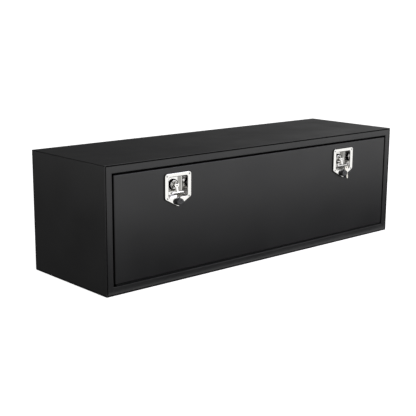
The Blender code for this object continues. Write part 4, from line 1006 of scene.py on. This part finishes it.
bm = bmesh.new()
corners = [
    (SEAL_LOW.x, SEAL_HIGH.z, SEAL_BEND), (SEAL_LOW.x, SEAL_LOW.z, SEAL_BEND),
    (SEAL_HIGH.x, SEAL_LOW.z, SEAL_BEND), (SEAL_HIGH.x, SEAL_HIGH.z, SEAL_BEND),
]
face = rounded_face(bm, corners, SEAL_HIGH.y, SEAL_BEND_STEPS)
section = [(0, 0), (0, SEAL_FOOT)]
for index in range(1, SEAL_STEPS):
    angle = math.pi * index / SEAL_STEPS
    section.append((SEAL_WIDTH / 2 * (1 - math.cos(angle)), SEAL_FOOT + SEAL_BULGE * math.sin(angle)))
section += [(SEAL_WIDTH, SEAL_FOOT), (SEAL_WIDTH, 0)]
step_in(bm, face, section)
bm.faces.remove(face)
bmesh.ops.bridge_loops(bm, edges=[edge for edge in bm.edges if edge.is_boundary])
bmesh.ops.recalc_face_normals(bm, faces=bm.faces)
seal = place_piece("bulb_seal", bm, seal_rubber, "box", sharp=60)
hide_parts("door_seal")
print("seal:", len(seal.data.polygons), "faces")

# %% [markdown]
# ## Spot welds, rivets and weld beads
# The hat channels and strikers are spot welded, which leaves a shallow ring about 6 mm across under the paint. Solid
# rivets hold the stay brackets. Short stitch welds join the end panels to the wrap inside, and each one is a row of
# ripples. All of them are turned profiles, with few faces because there are so many.

# %% Weld and rivet
SPOT_PITCH = 56 * MM
SPOT_INSET = 7.5 * MM
STRIKER_SPOT_INSET = 4.5 * MM
SHEET_FRONT = 3.4 * MM
BEAD_LENGTH = 26 * MM
BEAD_RADIUS = 2.3 * MM
BEAD_RIPPLES = 13
BEAD_RIPPLE_DEPTH = 0.28 * MM
BEAD_LIFT = CASE_SHEET + 0.8 * MM
BEAD_SHARES = (0.15, 0.5, 0.85)
HEAD_RADIUS = 3.4 * MM
HEAD_HEIGHT = 1.8 * MM
HEAD_INSET = 7 * MM
FOOT_THICKNESS = 3.0 * MM
FOOT_MIDDLE = {"door": 8.0 * MM, "box": 7.6 * MM}
BRACKETS = {"door": "door_stay_bracket_", "box": "frame_stay_bracket_"}
SPOT = [
    (-0.1 * MM, 0), (-0.1 * MM, 3.1 * MM), (0.14 * MM, 2.8 * MM), (0.16 * MM, 2.3 * MM), (0.02 * MM, 1.9 * MM),
    (0.02 * MM, 0),
]


def bead():
    """A stitch weld's (along, radius) profile: a rounded row of ripples."""
    places = [(-BEAD_LENGTH / 2, 0)]
    for index in range(2 * BEAD_RIPPLES + 1):
        share = index / (2 * BEAD_RIPPLES)
        swell = BEAD_RADIUS * (0.55 + 0.45 * math.sin(math.pi * share) ** 0.4)
        places.append((BEAD_LENGTH * (share - 0.5), swell - (BEAD_RIPPLE_DEPTH if index % 2 == 0 else 0)))
    return places + [(BEAD_LENGTH / 2, 0)]


bm = bmesh.new()
for name in ("left", "middle", "right"):
    low, high = corners_of("door_stiffener_" + name)
    rows = int((high.z - low.z) / SPOT_PITCH)
    for x in (low.x + SPOT_INSET, high.x - SPOT_INSET):
        for row in range(rows):
            z = (low.z + high.z) / 2 + SPOT_PITCH * (row - (rows - 1) / 2)
            lathe(bm, SPOT, (0, 1, 0), (x, WRAP_LOW.y + SHEET_FRONT, z), steps=12)
place_piece("stiffener_spot_welds", bm, coat, "door")

bm = bmesh.new()
for side in SIDES:
    low, high = corners_of("striker_" + side)
    for x in (low.x + STRIKER_SPOT_INSET, high.x - STRIKER_SPOT_INSET):
        lathe(bm, SPOT, (0, 1, 0), (x, high.y, (low.z + high.z) / 2), steps=16)
place_piece("striker_spot_welds", bm, zinc, "box")

for side, sign in zip(SIDES, (-1, 1)):
    for body, bracket in BRACKETS.items():
        low, high = corners_of(bracket + side)
        x = sign * (min(abs(low.x), abs(high.x)) + FOOT_MIDDLE[body])
        bm = bmesh.new()
        for z in (low.z + HEAD_INSET, high.z - HEAD_INSET):
            lathe(bm, dome(HEAD_RADIUS, HEAD_HEIGHT), (0, 1, 0), (x, low.y + FOOT_THICKNESS, z), steps=20)
        place_piece(bracket + "rivets_" + side, bm, zinc, body)

bm = bmesh.new()
for side in SIDES:
    low, high = corners_of("end_panel_" + side)
    x = high.x if side == "left" else low.x
    for share in BEAD_SHARES:
        y, z = low.y + (high.y - low.y) * share, low.z + (high.z - low.z) * share
        for level in (WRAP_LOW.z + BEAD_LIFT, WRAP_HIGH.z - BEAD_LIFT):
            lathe(bm, bead(), (0, 1, 0), (x, y, level), steps=10)
        lathe(bm, bead(), (0, 0, 1), (x, WRAP_HIGH.y - BEAD_LIFT, z), steps=10)
place_piece("stitch_welds", bm, coat, "box", sharp=70)
print("spot welds, bracket rivets and stitch welds are in")

# %% [markdown]
# ## Threads
# A lock's barrel is threaded along its whole length, for the nut behind the skin. A ring of grooves looks like a
# thread but has no lead, so here one small tooth is spun through many turns while it creeps backward.

# %% Cut the barrels' threads
THREAD_PITCH = 1.4 * MM
THREAD_ROOT = 9.35 * MM
THREAD_CREST = 10.0 * MM
THREAD_START = 0.3 * MM
THREAD_STEPS = 28
TOOTH = [(0, THREAD_ROOT), (THREAD_PITCH / 2, THREAD_CREST), (THREAD_PITCH, THREAD_ROOT)]

for side in SIDES:
    nut_back = corners_of("lock_nut_" + side)[1].y
    barrel_back = corners_of("lock_barrel_" + side)[1].y
    turns = int((barrel_back - nut_back) / THREAD_PITCH) - 1
    middle = hub(side)
    centre = Vector((middle.x, nut_back + THREAD_START, middle.z - LOCK_DROP))
    bm = bmesh.new()
    tooth = bm.faces.new([bm.verts.new(centre + Vector((radius, along, 0))) for along, radius in TOOTH])
    bmesh.ops.spin(
        bm, geom=[tooth], cent=centre, axis=(0, 1, 0), angle=math.tau * turns, steps=THREAD_STEPS * turns,
        dvec=(0, THREAD_PITCH / THREAD_STEPS, 0), use_merge=False,
    )
    bmesh.ops.recalc_face_normals(bm, faces=bm.faces)
    place_piece("barrel_thread_" + side, bm, stainless, "door", sharp=30)
print("thread turns:", turns)

# %% [markdown]
# ## Floor and light
# The photograph is a product picture on plain white. A broad pale floor stands under the box. It glows a little by
# itself, so that the shadow stays faint. The greys on the box's three faces tell where the light comes from: a
# bright soft room in front and to the right, strongest in a band near the horizon, a weaker glow overhead, and a
# softbox at each side. A grey card on the floor, seen only in the box's gloss, keeps the foot of the door dark.

# %% Lay the floor
FLOOR = 60.0
FLOOR_GLOW = 0.85
SWEEP = 30.0
SWEEP_STEPS = 8
bm = bmesh.new()
sweep = [(0, 0), (0, FLOOR)]
for step in range(1, SWEEP_STEPS + 1):
    angle = math.pi / 2 * step / SWEEP_STEPS
    sweep.append((SWEEP * (1 - math.cos(angle)), FLOOR + SWEEP * math.sin(angle)))
lathe(bm, sweep, (0, 0, 1), steps=48)
bmesh.ops.reverse_faces(bm, faces=[face for face in bm.faces if face.normal.z < 0])
floor_mesh = bpy.data.meshes.new("floor")
bm.to_mesh(floor_mesh)
bm.free()
floor_mesh.shade_smooth()
floor = put_in("floor", floor_mesh)
pale = finish("pale_floor", "#f4f4f3", 0.9, Emission_Color=colour("#ffffff"), Emission_Strength=FLOOR_GLOW)
floor_mesh.materials.append(pale[0])
floor.visible_glossy = False
floor.visible_diffuse = False
print("floor:", FLOOR * 2, "m across, with a swept edge")

# %% Light the room
BRIGHT_WAY = Vector((0.68, -0.72, -0.10)).normalized()
GLOW_RANGE, GLOW_LEVELS = (-0.30, 0.92), (0.0, 1.35)
BAND_MIDDLE = -0.08
BAND_EDGE, BAND_LEVELS = (0.26, 0.62), (1.0, 0.12)
OVERHEAD, OVERHEAD_LEVELS = (0.56, 0.97), (0.08, 0.6)

world = bpy.data.worlds.new("room")
bpy.context.scene.world = world
world.use_nodes = True
tree = world.node_tree
background = tree.nodes["Background"]
background.inputs["Color"].default_value = colour("#ffffff")
way = add(tree, "ShaderNodeTexCoord").outputs["Generated"]
lean = add(tree, "ShaderNodeVectorMath", {1: BRIGHT_WAY}, {0: way}, operation="DOT_PRODUCT").outputs["Value"]
glow = spread(tree, lean, GLOW_RANGE, GLOW_LEVELS, interpolation_type="SMOOTHSTEP")
height = add(tree, "ShaderNodeSeparateXYZ", None, {"Vector": way}).outputs["Z"]
off_middle = add(tree, "ShaderNodeMath", {1: BAND_MIDDLE}, {0: height}, operation="SUBTRACT").outputs["Value"]
away = add(tree, "ShaderNodeMath", None, {0: off_middle}, operation="ABSOLUTE").outputs["Value"]
band = spread(tree, away, BAND_EDGE, BAND_LEVELS, interpolation_type="SMOOTHSTEP")
overhead = spread(tree, height, OVERHEAD, OVERHEAD_LEVELS, interpolation_type="SMOOTHSTEP")
level = add(tree, "ShaderNodeMath", None, {0: glow, 1: band, 2: overhead}, operation="MULTIPLY_ADD")
tree.links.new(level.outputs["Value"], background.inputs["Strength"])
bpy.context.scene.view_settings.view_transform = "Standard"


def softbox(name, place, aim, size, watts, tint):
    """A square area light that looks at a point."""
    data = bpy.data.lights.new(name, "AREA")
    data.size = size
    data.energy = watts
    data.color = colour(tint)[:3]
    lamp = put_in(name, data)
    lamp.location = place
    lamp.rotation_euler = (Vector(aim) - Vector(place)).to_track_quat("-Z", "Y").to_euler()


softbox("key_light", (2.2, -3.2, 2.6), aim=(0.1, 0, 0.25), size=2.2, watts=52, tint="#f0f0ff")
softbox("end_light", (-3.6, 1.8, 0.9), aim=(-0.7, 0, 0.25), size=1.8, watts=25, tint="#ffffff")

CARD_SIZE = (5.0, 0.8, 1.0)
CARD_PLACE = (1.4, -0.65, 0.002)
card_mesh = bpy.data.meshes.new("dark_card")
bm = bmesh.new()
bmesh.ops.create_grid(bm, x_segments=1, y_segments=1, size=0.5)
bmesh.ops.scale(bm, verts=bm.verts, vec=CARD_SIZE)
bmesh.ops.translate(bm, verts=bm.verts, vec=CARD_PLACE)
bm.to_mesh(card_mesh)
bm.free()
card = put_in("dark_card", card_mesh)
card_mesh.materials.append(finish("dark_card", "#444444", 0.9)[0])
card.visible_camera = False
card.visible_shadow = False
card.visible_diffuse = False
print("room, two softboxes and a card")
